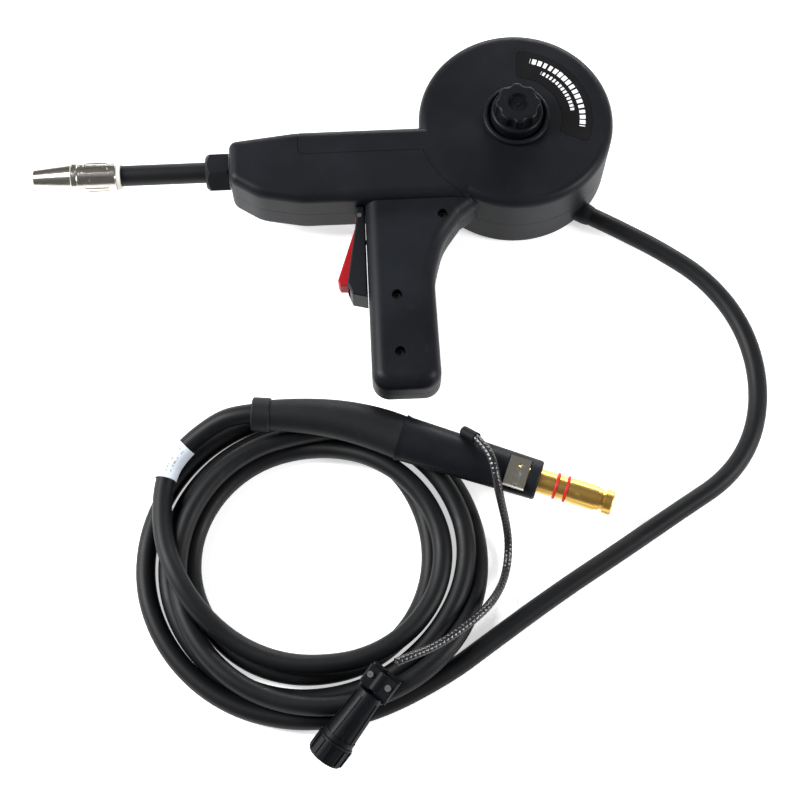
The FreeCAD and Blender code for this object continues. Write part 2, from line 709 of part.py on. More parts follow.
# ---------------------------------------------------------------- trigger group
def make_guard():
    """Switch guard in front of the grip, with a slot for the trigger."""
    front = V(grip_front_x - 12.9, trigger_pivot.y - 46.7, 0)
    outline_points = [
        (grip_front_x - 0.3, belly_y - 0.3), (grip_front_x - 6.0, belly_y - 0.3),
        (grip_front_x - 6.0, belly_y - 10.0), (front.x, front.y),
        (front.x + 2.9, front.y - 7.5), (grip_front_x - 0.3, front.y - 10.0)]
    guard = polygon_prism(outline_points, guard_low_z, guard_high_z)
    guard = soften(guard, 1.2, [guard_low_z, guard_high_z])
    slot = box((grip_front_x - 30, front.y - 3.6, split_z - trigger_half - 0.4),
               (grip_front_x - 1.2, belly_y + 5.0, split_z + trigger_half + 0.4))
    pin_hole = cylinder(1.5 + fit, V(trigger_pivot.x, trigger_pivot.y, guard_low_z - 1),
                        V(trigger_pivot.x, trigger_pivot.y, guard_high_z + 1))
    open_back = cylinder(plunger_r + 0.35, V(grip_front_x - 8, plunger_y, split_z),
                         V(grip_front_x + 2, plunger_y, split_z))
    return guard.cut(slot).cut(pin_hole).cut(open_back)


def make_trigger():
    """Red lever on its pin, thin at the pivot and thick at the finger's end."""
    x = trigger_pivot.x
    y = trigger_pivot.y
    corners = [
        (x - 2.2, y + 3.2, 1.2), (x - 2.9, y - 6.0, 8.0), (x - 15.2, y - 42.8, 1.6),
        (x - 13.8, y - 46.6, 1.2), (x - 8.2, y - 47.0, 1.2), (x - 5.8, y - 40.0, 3.0),
        (x, y - 16.0, 10.0), (x + 2.1, y - 1.0, 2.0), (x + 1.9, y + 3.0, 1.2)]
    low = split_z - trigger_half
    lever = prism(corners, low, low + 2 * trigger_half)
    lever = soften(lever, 0.8, [low, low + 2 * trigger_half])
    hole = Part.makeCylinder(1.5 + running, 30.0, trigger_pivot - V(0, 0, 15))
    return lever.cut(hole)


def make_trigger_pin():
    low = V(trigger_pivot.x, trigger_pivot.y, guard_low_z - 0.2)
    high = V(trigger_pivot.x, trigger_pivot.y, guard_high_z + 0.4)
    return cylinder(1.5, low, high)


def make_switch():
    """Microswitch body behind the grip's front wall, and its plunger."""
    low_x = grip_front_x + wall + 0.2
    body = box((low_x, plunger_y - 14.0, split_z - 6.0), (low_x + 10.0, plunger_y + 6.0, split_z + 6.0))
    body = body.makeFillet(0.6, [e for e in body.Edges if e.BoundBox.ZLength > 10])
    plunger_low = V(trigger_pivot.x + 0.9, plunger_y, split_z)
    plunger = cylinder(plunger_r, plunger_low, V(low_x + 3.0, plunger_y, split_z))
    well = cylinder(plunger_r + running, V(low_x - 1, plunger_y, split_z),
                    V(low_x + 6.0, plunger_y, split_z))
    terminals = []
    for k in range(3):
        low = (low_x + 10.0, plunger_y - 12.0 + 6.0 * k, split_z - 1.6)
        high = (low_x + 15.0, plunger_y - 11.4 + 6.0 * k, split_z + 1.6)
        terminals.append(box(low, high))
    return body.cut(well).fuse(terminals), plunger


# ---------------------------------------------------------------- cable entry
def make_gland():
    """Bushing through the canister's wall for the cable."""
    body = cylinder(gland_r, on_exit(-8.0), on_exit(2.8))
    return body.cut(cylinder(5.4, on_exit(-10.0), on_exit(4.0)))


def make_relief():
    """Short tapered rubber sleeve over the cable where it leaves the gland."""
    profile = [(0, 0), (0, 6.9), (1.5, 6.9), (relief_length, cable_r + 0.3), (relief_length, 0)]
    return turned(profile, on_exit(2.85), exit_dir)


hose_r = 2.2
hose_z = body_low_z + wall + hose_r + 0.3


def hose_points(start_angle, z, run_y, end_x):
    """Round the canister beside the spool, then forward under the gear head."""
    lane = chamber_r - spool_gap / 2 + 0.8
    points = []
    for degrees in range(start_angle, -131, -18):
        a = math.radians(degrees)
        points.append((lane * math.cos(a), lane * math.sin(a), z))
    points.append((points[-1][0] - 19.0, run_y, hose_z))
    points.append((points[-1][0] - 26.0, run_y - 0.6, hose_z))
    points.append((end_x, run_y, hose_z))
    return points


def make_hoses():
    """Gas hose and power lead inside the gun."""
    gas = tube(hose_points(-58, hose_z, -43.5, roll_x - 20.0), hose_r, "gas_hose")
    power = tube(hose_points(-58, hose_z + 5.4, -35.2, roll_x - 22.0), hose_r, "power_lead")
    return gas, power


# ---------------------------------------------------------------- cable, coil and plug
cable_route = [
    (49.4, -50.4, 8.8), (70.5, -62.1, 7.2), (92.0, -75.0, 6.1), (120.5, -97.5, 6.1),
    (140.5, -130.0, 6.1),
    (147.0, -168.0, 6.1), (140.0, -205.0, 6.1), (120.0, -233.5, 6.1), (88.0, -252.5, 6.1),
    (50.0, -276.0, 6.1), (8.0, -301.0, 6.1), (-36.0, -330.0, 6.1), (-85.0, -352.0, 6.1),
]
tail_route = [
    (-241.0, -245.0, 13.0), (-232.0, -222.0, 16.5), (-216.0, -203.5, 22.0), (-195.0, -191.5, 29.0),
    (-174.6, -187.6, 32.0),
]
coil_middle = V(-141.4, -278.0, 0)
coil_out = (109.4, 99.4)
eye_middle = V(-141.7, -271.0, 0)
eye = (68.2, 61.5)


def oval_prism(middle, semi, low, high):
    """Upright oval prism by its two half widths, along X and Y."""
    big = max(semi)
    small = min(semi)
    heading = V(1, 0, 0) if semi[0] >= semi[1] else V(0, 1, 0)
    side = V(0, 0, 1).cross(heading)
    curve = Part.Ellipse(middle + heading * big, middle + side * small, middle)
    face = Part.Face(Part.Wire(curve.toShape()))
    face.translate(V(0, 0, low))
    return face.extrude(V(0, 0, high - low))


def make_coil():
    """Outer form of the coiled cable, a rounded oval ring two strands deep."""
    ring_solid = oval_prism(coil_middle, coil_out, 0, coil_top)
    ring_solid = soften(ring_solid, 5.0, [0, coil_top])
    hole = oval_prism(eye_middle, eye, -1, coil_top + 1)
    return ring_solid.cut(hole)


handle_end = V(-1.6, -238.0, 31.8)
handle_dir = V(math.cos(math.radians(-20.8)), math.sin(math.radians(-20.8)), 0)
handle_length = 88.0
handle_start = handle_end - handle_dir * handle_length
handle_high = 10.5
collar_at = V(-174.5, -187.5, 32.0)
collar_dir = V(math.cos(math.radians(-6.0)), math.sin(math.radians(-6.0)), 0)
collar_length = 11.3


def oval(at, heading, across, high):
    """Oval section facing a level heading, by its half width across and half height."""
    side = V(-heading.y, heading.x, 0).normalize()
    if across > high:
        curve = Part.Ellipse(at + side * across, at + V(0, 0, 1) * high, at)
    else:
        curve = Part.Circle(at, heading, across)
    return Part.Wire(curve.toShape())


def make_boot():
    """Flexible boot that widens and flattens from the collar to the handle."""
    first = collar_at + collar_dir * (collar_length + 0.1)
    last = handle_start - handle_dir * 0.1
    middle = first * 0.5 + last * 0.5 + V(1.5, 4.4, 0)
    near = first * 0.75 + last * 0.25 + V(0.6, 3.2, 0)
    far = first * 0.25 + last * 0.75 + V(1.0, 3.4, 0)
    between = (collar_dir + handle_dir).normalize()
    sections = [
        oval(first, collar_dir, 9.6, 9.5), oval(near, (collar_dir + between).normalize(), 10.9, 9.8),
        oval(middle, between, 12.2, 10.1), oval(far, (between + handle_dir).normalize(), 13.3, 10.3),
        oval(last, handle_dir, 13.9, 10.4)]
    return Part.makeLoft(sections, True)


def make_plug_collar():
    profile = [(0, 0), (0, 9.8), (0.8, 10.6), (collar_length - 0.8, 10.6),
               (collar_length, 9.8), (collar_length, 0)]
    return turned(profile, collar_at, collar_dir)


pin_root_r = pin_r - 0.3
seal_places = (10.8, 17.2)       # the two O-rings, past the handle's end
pin_body_from = 19.4             # the contact part of the pin
pin_body_to = 36.0
clip_along = 67.1
clip_length = 14.1
clip_width = 16.0


def in_handle(shape):
    """Places a shape made with X along the handle, Y to its far side and Z up, from its start."""
    copy = shape.copy()
    copy.rotate(V(0, 0, 0), V(0, 0, 1), -20.8)
    copy.translate(handle_start)
    return copy


def make_handle():
    """Rigid plug handle with a raised shoulder, a window for the clip and the pin's socket."""
    low_high = handle_high - 0.4
    start = oval(V(0, 0, 0), V(1, 0, 0), 14.3, low_high)
    end = oval(V(handle_length, 0, 0), V(1, 0, 0), 12.3, low_high)
    body = Part.makeLoft([start, end], True, True)
    ends = [e for e in body.Edges if abs(e.BoundBox.XMin - handle_length) < 0.1
            and e.BoundBox.XLength < 0.1]
    body = body.makeFillet(1.6, ends)
    shoulder = oval(V(0, 0, 0), V(1, 0, 0), 15.0, handle_high)
    shoulder_end = oval(V(7, 0, 0), V(1, 0, 0), 13.5, low_high - 0.7)
    body = body.fuse(Part.makeLoft([shoulder, shoulder_end], True, True))
    window = box((clip_along, -clip_width / 2 - 6, handle_high - 7.3),
                 (clip_along + clip_length, clip_width / 2, handle_high + 3))
    socket = cylinder(pin_root_r + fit, V(handle_length - 16, 0, 0),
                      V(handle_length + 2, 0, 0))
    handle = in_handle(body.cut(window).cut(socket))
    heading = (V(*lead_route[0]) - sleeve_start).normalize()
    lead_hole = cylinder(sleeve_r + fit, sleeve_start - heading * 0.4, V(*lead_route[0]))
    return largest(handle.cut(lead_hole))


def make_clip():
    """Plated spring latch in the handle's window, a bent plate with a hole."""
    low = handle_high - 1.9
    top = box((clip_along + 0.5, -clip_width / 2 - 2.0, low),
              (clip_along + clip_length - 0.5, clip_width / 2 - 0.5, low + 1.3))
    lip = box((clip_along + 0.5, -clip_width / 2 - 3.0, low - 4.0),
              (clip_along + clip_length - 0.5, -clip_width / 2 - 1.7, low + 1.3))
    plate = top.fuse(lip).removeSplitter()
    long_edges = [e for e in plate.Edges if e.BoundBox.XLength > clip_length - 2
                  and e.BoundBox.YMin < -clip_width / 2 - 2.9 and e.BoundBox.ZMin > low + 1]
    plate = plate.makeFillet(1.2, long_edges)
    hole = Part.makeCylinder(1.1, 6.0, V(clip_along + 7.6, 2.5, low - 1))
    return in_handle(plate.cut(hole))


def make_pin():
    """Brass power pin: collar, two O-ring grooves, body, a neck and its end ring."""
    r = pin_r
    root = pin_root_r
    profile = [(-15.5, 0), (-15.5, root)]
    for along in seal_places:
        profile += [(along - 1.2, root), (along - 1.2, r - 1.3), (along + 1.2, r - 1.3),
                    (along + 1.2, root)]
    profile += [(pin_body_from, root), (pin_body_from, r), (pin_body_to, r), (pin_body_to, r - 0.7),
                (38.6, r - 0.7), (38.6, r - 1.9), (40.6, r - 1.9), (40.6, r - 0.15),
                (45.2, r - 0.15), (46.0, r - 0.8), (46.0, 2.0), (20.0, 2.0), (20.0, 0)]
    return turned(profile, handle_end, handle_dir)


def make_seals():
    """The pin's two O-rings."""
    rings = []
    for along in seal_places:
        seal = Part.makeTorus(pin_r - 0.35, 0.95, handle_end + handle_dir * along, handle_dir)
        groove = cylinder(pin_r - 1.3, handle_end, handle_end + handle_dir * 40)
        rings.append(seal.cut(groove))
    return Part.makeCompound([solid for seal in rings for solid in seal.Solids])


# ---------------------------------------------------------------- control lead and connector
lead_route = [
    (-38.0, -214.2, 46.0), (-32.6, -221.5, 47.4), (-29.4, -231.5, 47.4), (-28.0, -242.0, 43.6),
    (-25.0, -252.0, 30.5), (-21.6, -261.5, 15.5), (-20.6, -272.5, 5.4), (-23.0, -286.5, 4.0),
    (-28.2, -299.5, 12.8), (-38.0, -313.5, 25.4), (-53.0, -325.5, 28.8), (-69.0, -335.6, 32.0),
    (-84.0, -341.8, 37.8), (-93.2, -345.4, 39.4),
]
ring_end = V(-137.0, -393.8, 13.5)
clamp_end = V(-97.9, -349.7, 37.0)


def connector_frame():
    axis = (clamp_end - ring_end).normalize()
    return ring_end, axis


def on_connector(shape, spin=0.0):
    """Carries a shape made along +Z from the mating end to the connector's place."""
    origin, axis = connector_frame()
    upright = math.degrees(math.atan2(-axis.y, -axis.x)) - 90.0
    return placed(shape, origin, axis, upright + spin)


ring_length = 13.5
shell_length = 47.0
connector_length = 62.5
ring_r = 10.8            # outside the coupling ring, without its ribs
nose_r = 8.8
saddle_half = 10.0
screw_off = 6.5
screw_at = 56.8


def make_coupling_ring():
    """Knurled coupling ring with a bore that runs on the connector's nose."""
    ring_out = ring(ring_r, nose_r + running, V(0, 0, 0), V(0, 0, ring_length))
    ring_out = soften(ring_out, 0.9, [0, ring_length])
    ribs = []
    for k in range(12):
        rib = box((ring_r - 0.6, -1.5, 1.6), (ring_r + 0.7, 1.5, ring_length - 1.6))
        rib.rotate(V(0, 0, 0), V(0, 0, 1), 30.0 * k)
        ribs.append(rib)
    return on_connector(ring_out.fuse(ribs))


def connector_room():
    """Space the connector presses into the coil, a little clear of its outline."""
    loose = 0.5
    wide = ring_r + 0.9 + loose
    profile = [(-2, 0), (-2, wide), (ring_length + loose, wide), (ring_length + loose, nose_r + 2.0),
               (shell_length + 1.0, nose_r + 1.6), (shell_length + 1.0, 0)]
    loop = [V(radius, 0, along) for along, radius in profile]
    room = Part.Face(Part.makePolygon(loop + loop[:1])).revolve(V(0, 0, 0), V(0, 0, 1), 360)
    saddle = box((-saddle_half - loose, -6.0, shell_length - 1.5),
                 (saddle_half + loose, 8.0, connector_length + 0.5))
    return on_connector(room.fuse(saddle))


def make_insert():
    """Contact insert with its round contacts."""
    insert = Part.makeCylinder(nose_r - 2.3, 9.0, V(0, 0, 2.0))
    holes = [Part.makeCylinder(0.8, 3.0, V(3.9 * math.cos(a), 3.9 * math.sin(a), 1.0))
             for a in (math.radians(72 * k) for k in range(5))]
    return on_connector(insert.cut(Part.makeCompound(holes)))


def make_backshell():
    """Connector shell: nose, finned body and the cable clamp's saddle."""
    nose = ring(nose_r, nose_r - 2.2, V(0, 0, 0.4), V(0, 0, ring_length + 1.0))
    flange = Part.makeCylinder(nose_r + 1.4, 3.0, V(0, 0, ring_length + 0.4))
    barrel = Part.makeCone(nose_r + 0.6, nose_r - 1.2, shell_length - ring_length - 2,
                           V(0, 0, ring_length + 2.5))
    fins = []
    for k in range(8):
        fin = polygon_fin(nose_r + 1.2, nose_r - 0.3, ring_length + 3.0, shell_length - 3.0)
        fin.rotate(V(0, 0, 0), V(0, 0, 1), 45.0 * k + 22.5)
        fins.append(fin)
    body = flange.fuse([barrel, nose] + fins)
    saddle = box((-saddle_half, -5.4, shell_length - 1.0), (saddle_half, -0.2, connector_length))
    saddle = saddle.makeFillet(2.0, [e for e in saddle.Edges if e.BoundBox.ZLength > 10])
    body = body.fuse(saddle)
    body = body.cut(Part.makeCylinder(lead_r + 0.1, 60.0, V(0, 0, ring_length + 8)))
    for side in (-1, 1):
        body = body.cut(cylinder(1.05, V(screw_off * side, -8, screw_at), V(screw_off * side, 1, screw_at)))
    return on_connector(body)


def polygon_fin(r_low, r_high, low, high):
    """Tapered fin that stands out along +X."""
    points = [V(5, -0.8, low), V(r_low, -0.8, low), V(r_high, -0.8, high), V(5, -0.8, high)]
    return Part.Face(Part.makePolygon(points + points[:1])).extrude(V(0, 1.6, 0))


def make_clamp():
    """Upper half of the cable clamp."""
    top = box((-saddle_half, 0.2, shell_length + 3.0), (saddle_half, 3.8, connector_length - 1.0))
    top = top.makeFillet(1.2, [e for e in top.Edges if e.BoundBox.ZLength > 10])
    hump = cylinder(4.3, V(0, 0.8, shell_length + 3.0), V(0, 0.8, connector_length - 1.0))
    hump = hump.common(box((-8, 0.2, 0), (8, 10, 80)))
    top = top.fuse(hump).cut(Part.makeCylinder(lead_r + 0.1, 60.0, V(0, 0, 20)))
    for side in (-1, 1):
        top = top.cut(cylinder(1.05, V(screw_off * side, -1, screw_at), V(screw_off * side, 8, screw_at)))
    return on_connector(top)


def make_clamp_screws():
    """The clamp's two screws."""
    screws = []
    for side in (-1, 1):
        x = screw_off * side
        head = cylinder(1.9, V(x, 3.85, screw_at), V(x, 5.3, screw_at))
        shank = cylinder(1.0, V(x, -4.0, screw_at), V(x, 3.85, screw_at))
        slot = box((x - 3, 4.7, screw_at - 0.3), (x + 3, 6.0, screw_at + 0.3))
        screws.append(on_connector(head.fuse(shank).cut(slot)))
    return Part.makeCompound(screws)


sleeve_start = V(-45.5, -206.5, 38.0)
sleeve_r = 3.3


def make_sleeve():
    """Short sleeve where the control lead leaves the plug handle."""
    end = V(*lead_route[0])
    heading = (end - sleeve_start).normalize()
    return ring(sleeve_r, lead_r + fit, sleeve_start, end - heading * 1.1)


def make_label():
    """Wrap-round label on the cable near the plug."""
    first = V(*tail_route[1])
    second = V(*tail_route[2])
    heading = (second - first).normalize()
    middle = first * 0.5 + second * 0.5
    return ring(cable_r + 0.55, cable_r + 0.25, middle - heading * 4.5, middle + heading * 4.5)


# ---------------------------------------------------------------- build
def build():
    parts = {}
    parts["housing_left"], parts["housing_right"] = make_housings()
    parts["housing_screws"] = Part.makeCompound([screw(x, y) for x, y in screw_spots])
    parts["canister_base"] = make_base()
    parts["canister_cover"] = make_cover()
    parts["cover_badge"] = arc_plate(0.0, face_z - 0.28, face_z + 0.12)
    parts["cover_knob"] = make_knob()
    parts["spool_spindle"] = make_spindle()
    parts["wire_spool"] = make_spool()
    parts["wire_winding"] = make_winding()
    brake = make_brake()
    parts["brake_washer"], parts["brake_nut"] = brake
    parts["gas_nozzle"] = make_nozzle()
    front = make_front()
    names = ("contact_tip", "gas_diffuser", "nozzle_insulator", "conductor_tube", "wire_liner",
             "barrel_jacket")
    parts.update(zip(names, front))
    parts["barrel_nut"] = make_nut()
    parts["front_bushing"] = make_bushing()
    parts["power_block"] = make_block()
    parts["drive_motor"], parts["gearbox"] = make_motor()
    parts["feed_plate"] = make_feed_plate(parts["gearbox"])
    rolls = make_rolls()
    parts.update(zip(("drive_shaft", "drive_roll", "roll_screw", "idler_roll"), rolls))
    parts["idler_arm"], parts["arm_spring"] = make_arm()
    parts["outlet_guide"], parts["inlet_guide"] = make_guides()
    parts["welding_wire"] = make_wire()
    parts["trigger_guard"] = make_guard()
    parts["trigger"] = make_trigger()
    parts["trigger_pin"] = make_trigger_pin()
    parts["microswitch"], parts["switch_plunger"] = make_switch()
    parts["cable_gland"] = make_gland()
    parts["gas_hose"], parts["power_lead"] = make_hoses()
    parts["strain_relief"] = make_relief()
    coil = largest(make_coil().cut(connector_room()))
    parts["cable_coil"] = coil
    relief_tip = on_exit(2.85 + relief_length)
    run = [tuple(relief_tip + exit_dir * 0.02)] + cable_route[1:]
    parts["cable_run"] = largest(tube(run, cable_r, "cable_run").cut(coil))
    parts["cable_tail"] = largest(tube(tail_route, cable_r, "cable_tail").cut(coil))
    parts["cable_label"] = largest(make_label().cut(coil))
    parts["plug_collar"] = make_plug_collar()
    parts["plug_boot"] = make_boot()
    parts["plug_handle"] = make_handle()
    parts["spring_clip"] = make_clip()
    parts["power_pin"] = make_pin()
    parts["pin_seals"] = make_seals()
    parts["lead_sleeve"] = make_sleeve()
    parts["control_lead"] = tube(lead_route, lead_r, "control_lead")
    parts["coupling_ring"] = make_coupling_ring()
    parts["contact_insert"] = make_insert()
    parts["connector_shell"] = make_backshell()
    parts["cable_clamp"] = make_clamp()
    parts["clamp_screws"] = make_clamp_screws()
    return parts


os.makedirs("parts", exist_ok=True)
for name, shape in build().items():
    if not shape.isValid():
        print("invalid", name)
    shape.exportStep(f"parts/{name}.step")
    print(name, len(shape.Solids), "solids", round(shape.Volume / 1000.0, 2), "cm3")
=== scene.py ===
"""Looks of the spool gun: finishes, cable, control lead, label, winding, stage and camera."""
import math

import bmesh
import bpy
import numpy as np
from bpy.props import FloatProperty, FloatVectorProperty, IntProperty, PointerProperty
from mathutils import Matrix, Vector


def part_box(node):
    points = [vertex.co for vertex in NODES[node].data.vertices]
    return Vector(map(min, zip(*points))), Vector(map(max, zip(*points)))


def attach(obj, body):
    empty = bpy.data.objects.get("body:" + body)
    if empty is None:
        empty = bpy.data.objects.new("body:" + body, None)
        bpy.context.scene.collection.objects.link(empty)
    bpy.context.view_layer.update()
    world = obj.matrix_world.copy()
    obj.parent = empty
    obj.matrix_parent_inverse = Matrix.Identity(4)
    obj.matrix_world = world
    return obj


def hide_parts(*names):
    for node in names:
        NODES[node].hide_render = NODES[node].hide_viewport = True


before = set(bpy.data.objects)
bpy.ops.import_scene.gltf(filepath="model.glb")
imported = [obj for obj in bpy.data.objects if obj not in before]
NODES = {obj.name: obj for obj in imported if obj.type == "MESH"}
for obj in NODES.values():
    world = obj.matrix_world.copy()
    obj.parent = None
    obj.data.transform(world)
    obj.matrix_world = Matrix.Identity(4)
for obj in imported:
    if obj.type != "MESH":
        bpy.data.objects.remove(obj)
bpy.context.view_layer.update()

bl_info = {
    "name": "Spool gun dressing",
    "version": (1, 0, 0),
    "blender": (4, 5, 0),
    "location": "View3D > Sidebar > Spool gun",
    "description": "Finishes, cables and a studio stage for a spool type welding torch",
    "category": "Object",
}

MM = 0.001
STRAIGHT_START = 0.010  # the cable's straight stretch out of the strain relief
LABEL_LENGTH = 0.025
LABEL_SPOT = (-0.2245, -0.2125)  # the label's middle, seen from above

# Centre of the strain relief's mouth, in metres, and the direction the cable leaves in.
RELIEF_MOUTH = (0.04936, -0.05037, 0.0088)
RELIEF_HEADING = (0.8660, -0.5000, 0.0)
# Route of the main cable on the floor, from the canister to the coil, in metres.
CABLE_RUN = [
    (0.0705, -0.0621, 0.0072), (0.0920, -0.0750, 0.0061), (0.1205, -0.0975, 0.0061),
    (0.1405, -0.1300, 0.0061), (0.1470, -0.1680, 0.0061), (0.1400, -0.2050, 0.0061),
    (0.1200, -0.2335, 0.0061), (0.0880, -0.2525, 0.0061), (0.0500, -0.2760, 0.0061),
    (0.0080, -0.3010, 0.0061), (-0.0360, -0.3300, 0.0061), (-0.0620, -0.3475, 0.0061),
]
# Last stretch of the cable, off the coil and up into the plug's collar.
CABLE_TAIL = [
    (-0.2310, -0.2215, 0.0180), (-0.2185, -0.2035, 0.0200), (-0.1975, -0.1900, 0.0265),
    (-0.1840, -0.1870, 0.0308), (-0.1700, -0.1868, 0.0322),
]
# The coil's turns: bearing in degrees about its centre, distance and height in millimetres.
COIL_CENTRE = (-0.1415, -0.2775)
COIL_STATIONS = [
    (-66, 97.5, 6.1), (-90, 93.9, 6.1), (-135, 98.5, 6.1), (-180, 103.3, 6.1),
    (-225, 101.5, 6.1), (-270, 99.0, 6.1), (-315, 101.5, 6.1), (-360, 103.4, 6.1),
    (-380, 102.0, 11.0), (-398, 98.5, 17.8), (-415, 94.5, 18.3), (-430, 91.0, 17.4),
    (-450, 88.0, 16.4), (-475, 86.2, 18.2), (-500, 84.0, 17.2), (-540, 81.6, 15.6),
    (-585, 80.8, 16.2), (-630, 80.6, 16.4), (-645, 85.5, 17.3), (-660, 90.0, 17.6),
    (-675, 93.5, 17.0), (-690, 95.5, 15.8), (-720, 96.5, 15.4), (-740, 91.0, 15.0),
    (-760, 86.0, 14.0), (-785, 83.0, 8.0), (-810, 81.9, 6.1), (-835, 84.5, 6.1),
    (-860, 87.0, 6.1), (-900, 89.3, 6.1), (-945, 88.0, 6.1), (-990, 86.8, 6.1),
    (-1020, 82.5, 6.1), (-1050, 77.0, 6.1), (-1080, 73.7, 6.1), (-1125, 70.5, 6.1),
    (-1170, 67.9, 6.1), (-1215, 71.0, 6.1), (-1260, 74.6, 6.1), (-1305, 74.5, 6.1),
    (-1350, 74.5, 6.1), (-1362, 74.6, 10.0), (-1375, 75.2, 15.0), (-1390, 76.4, 18.2),
    (-1408, 79.5, 17.6), (-1440, 81.8, 15.6), (-1465, 77.0, 16.5), (-1490, 71.0, 18.1),
    (-1510, 66.5, 18.0), (-1530, 62.8, 16.8), (-1560, 64.8, 17.0), (-1575, 67.2, 17.5),
    (-1589, 70.8, 20.5), (-1601, 75.0, 25.0), (-1612, 79.6, 27.5), (-1624, 86.2, 25.5),
    (-1635, 93.8, 20.5), (-1643, 100.5, 18.1),
]
# Control lead from the plug handle's sleeve to the connector's clamp, in metres.
LEAD_RUN = [
    (-0.0392, -0.2130, 0.0447), (-0.0326, -0.2215, 0.0474), (-0.0294, -0.2315, 0.0474),
    (-0.0280, -0.2420, 0.0436), (-0.0250, -0.2520, 0.0305), (-0.0216, -0.2615, 0.0155),
    (-0.0206, -0.2725, 0.0054), (-0.0230, -0.2865, 0.0040), (-0.0282, -0.2995, 0.0128),
    (-0.0380, -0.3135, 0.0254), (-0.0530, -0.3255, 0.0288), (-0.0690, -0.3356, 0.0320),
    (-0.0840, -0.3418, 0.0378), (-0.0932, -0.3454, 0.0394),
]


# ------------------------------------------------------------------ sizes and colours
class CableSizes(bpy.types.PropertyGroup):
    """Sizes of the two cords"""

    diameter: FloatProperty(name="Cable diameter", description="Main cable, outside", default=0.012,
                            min=0.004, subtype="DISTANCE", unit="LENGTH")
    lead_diameter: FloatProperty(name="Lead diameter", description="Control lead, outside",
                                 default=0.005, min=0.002, subtype="DISTANCE", unit="LENGTH")
    points_per_turn: IntProperty(name="Points per turn", description="Control points in one turn",
                                 default=20, min=12)
    braid_pitch: FloatProperty(name="Braid pitch", description="One turn of a strand of the braid",
                               default=0.0085, min=0.001, subtype="DISTANCE", unit="LENGTH")


class FinishColours(bpy.types.PropertyGroup):
    """Colours of the visible finishes"""

    plastic: FloatVectorProperty(name="Plastic", description="Moulded casings", subtype="COLOR",
                                 default=(0.0046, 0.0053, 0.0068), size=3, min=0, max=1)
    rubber: FloatVectorProperty(name="Rubber", description="Cable jacket and boot", subtype="COLOR",
                                default=(0.0036, 0.0040, 0.0048), size=3, min=0, max=1)
    trigger: FloatVectorProperty(name="Trigger", description="Trigger lever", subtype="COLOR",
                                 default=(0.38, 0.010, 0.016), size=3, min=0, max=1)
    nickel: FloatVectorProperty(name="Nickel", description="Plated nozzle and clip",
                                subtype="COLOR", default=(0.46, 0.435, 0.395), size=3, min=0, max=1)
    brass: FloatVectorProperty(name="Brass", description="Turned brass", subtype="COLOR",
                               default=(0.80, 0.50, 0.13), size=3, min=0, max=1)


class StageSizes(bpy.types.PropertyGroup):
    """Camera"""

    lens: FloatProperty(name="Lens", description="Focal length on a 36 mm sensor in millimetres",
                        default=67.5, min=10, subtype="DISTANCE_CAMERA")
    depression: FloatProperty(name="Depression", description="How far the camera looks down",
                              default=math.radians(70.0), subtype="ANGLE")
    heading: FloatProperty(name="Heading", description="Camera's heading, from +Y towards +X",
                           default=math.radians(2.6), subtype="ANGLE")
    place: FloatVectorProperty(name="Camera place", description="Where the camera stands",
                               default=(-0.09772, -0.49858, 0.9016), size=3,
                               subtype="TRANSLATION", unit="LENGTH")


# ------------------------------------------------------------------ shader expressions
class Field:
    """A socket whose sums and products add Math nodes to its material."""

    def __init__(self, paint, socket):
        self.paint = paint
        self.socket = socket

    def _math(self, operation, first, second, third=None):
        values = {0: first, 1: second}
        if third is not None:
            values[2] = third
        return self.paint.add("ShaderNodeMath", {"operation": operation}, values)

    def __add__(self, other):
        return self._math("ADD", self, other)

    def __sub__(self, other):
        return self._math("SUBTRACT", self, other)

    def __rsub__(self, other):
        return self._math("SUBTRACT", other, self)

    def __mul__(self, other):
        return self._math("MULTIPLY", self, other)

    def __truediv__(self, other):
        return self._math("DIVIDE", self, other)

    def __pow__(self, other):
        return self._math("POWER", self, other)

    def __lt__(self, other):
        return self._math("LESS_THAN", self, other)

    def __gt__(self, other):
        return self._math("GREATER_THAN", self, other)

    def sine(self):
        return self._math("SINE", self, 0.0)

    def size(self):
        return self._math("ABSOLUTE", self, 0.0)

    def wave(self):
        return self._math("PINGPONG", self, 1.0)

    def step(self, low, high):
        """Smooth rise from 0 to 1 between two values."""
        return self.paint.add("ShaderNodeMapRange", {"interpolation_type": "SMOOTHSTEP"},
                              {"Value": self, "From Min": low, "From Max": high})

    __radd__ = __add__
    __rmul__ = __mul__


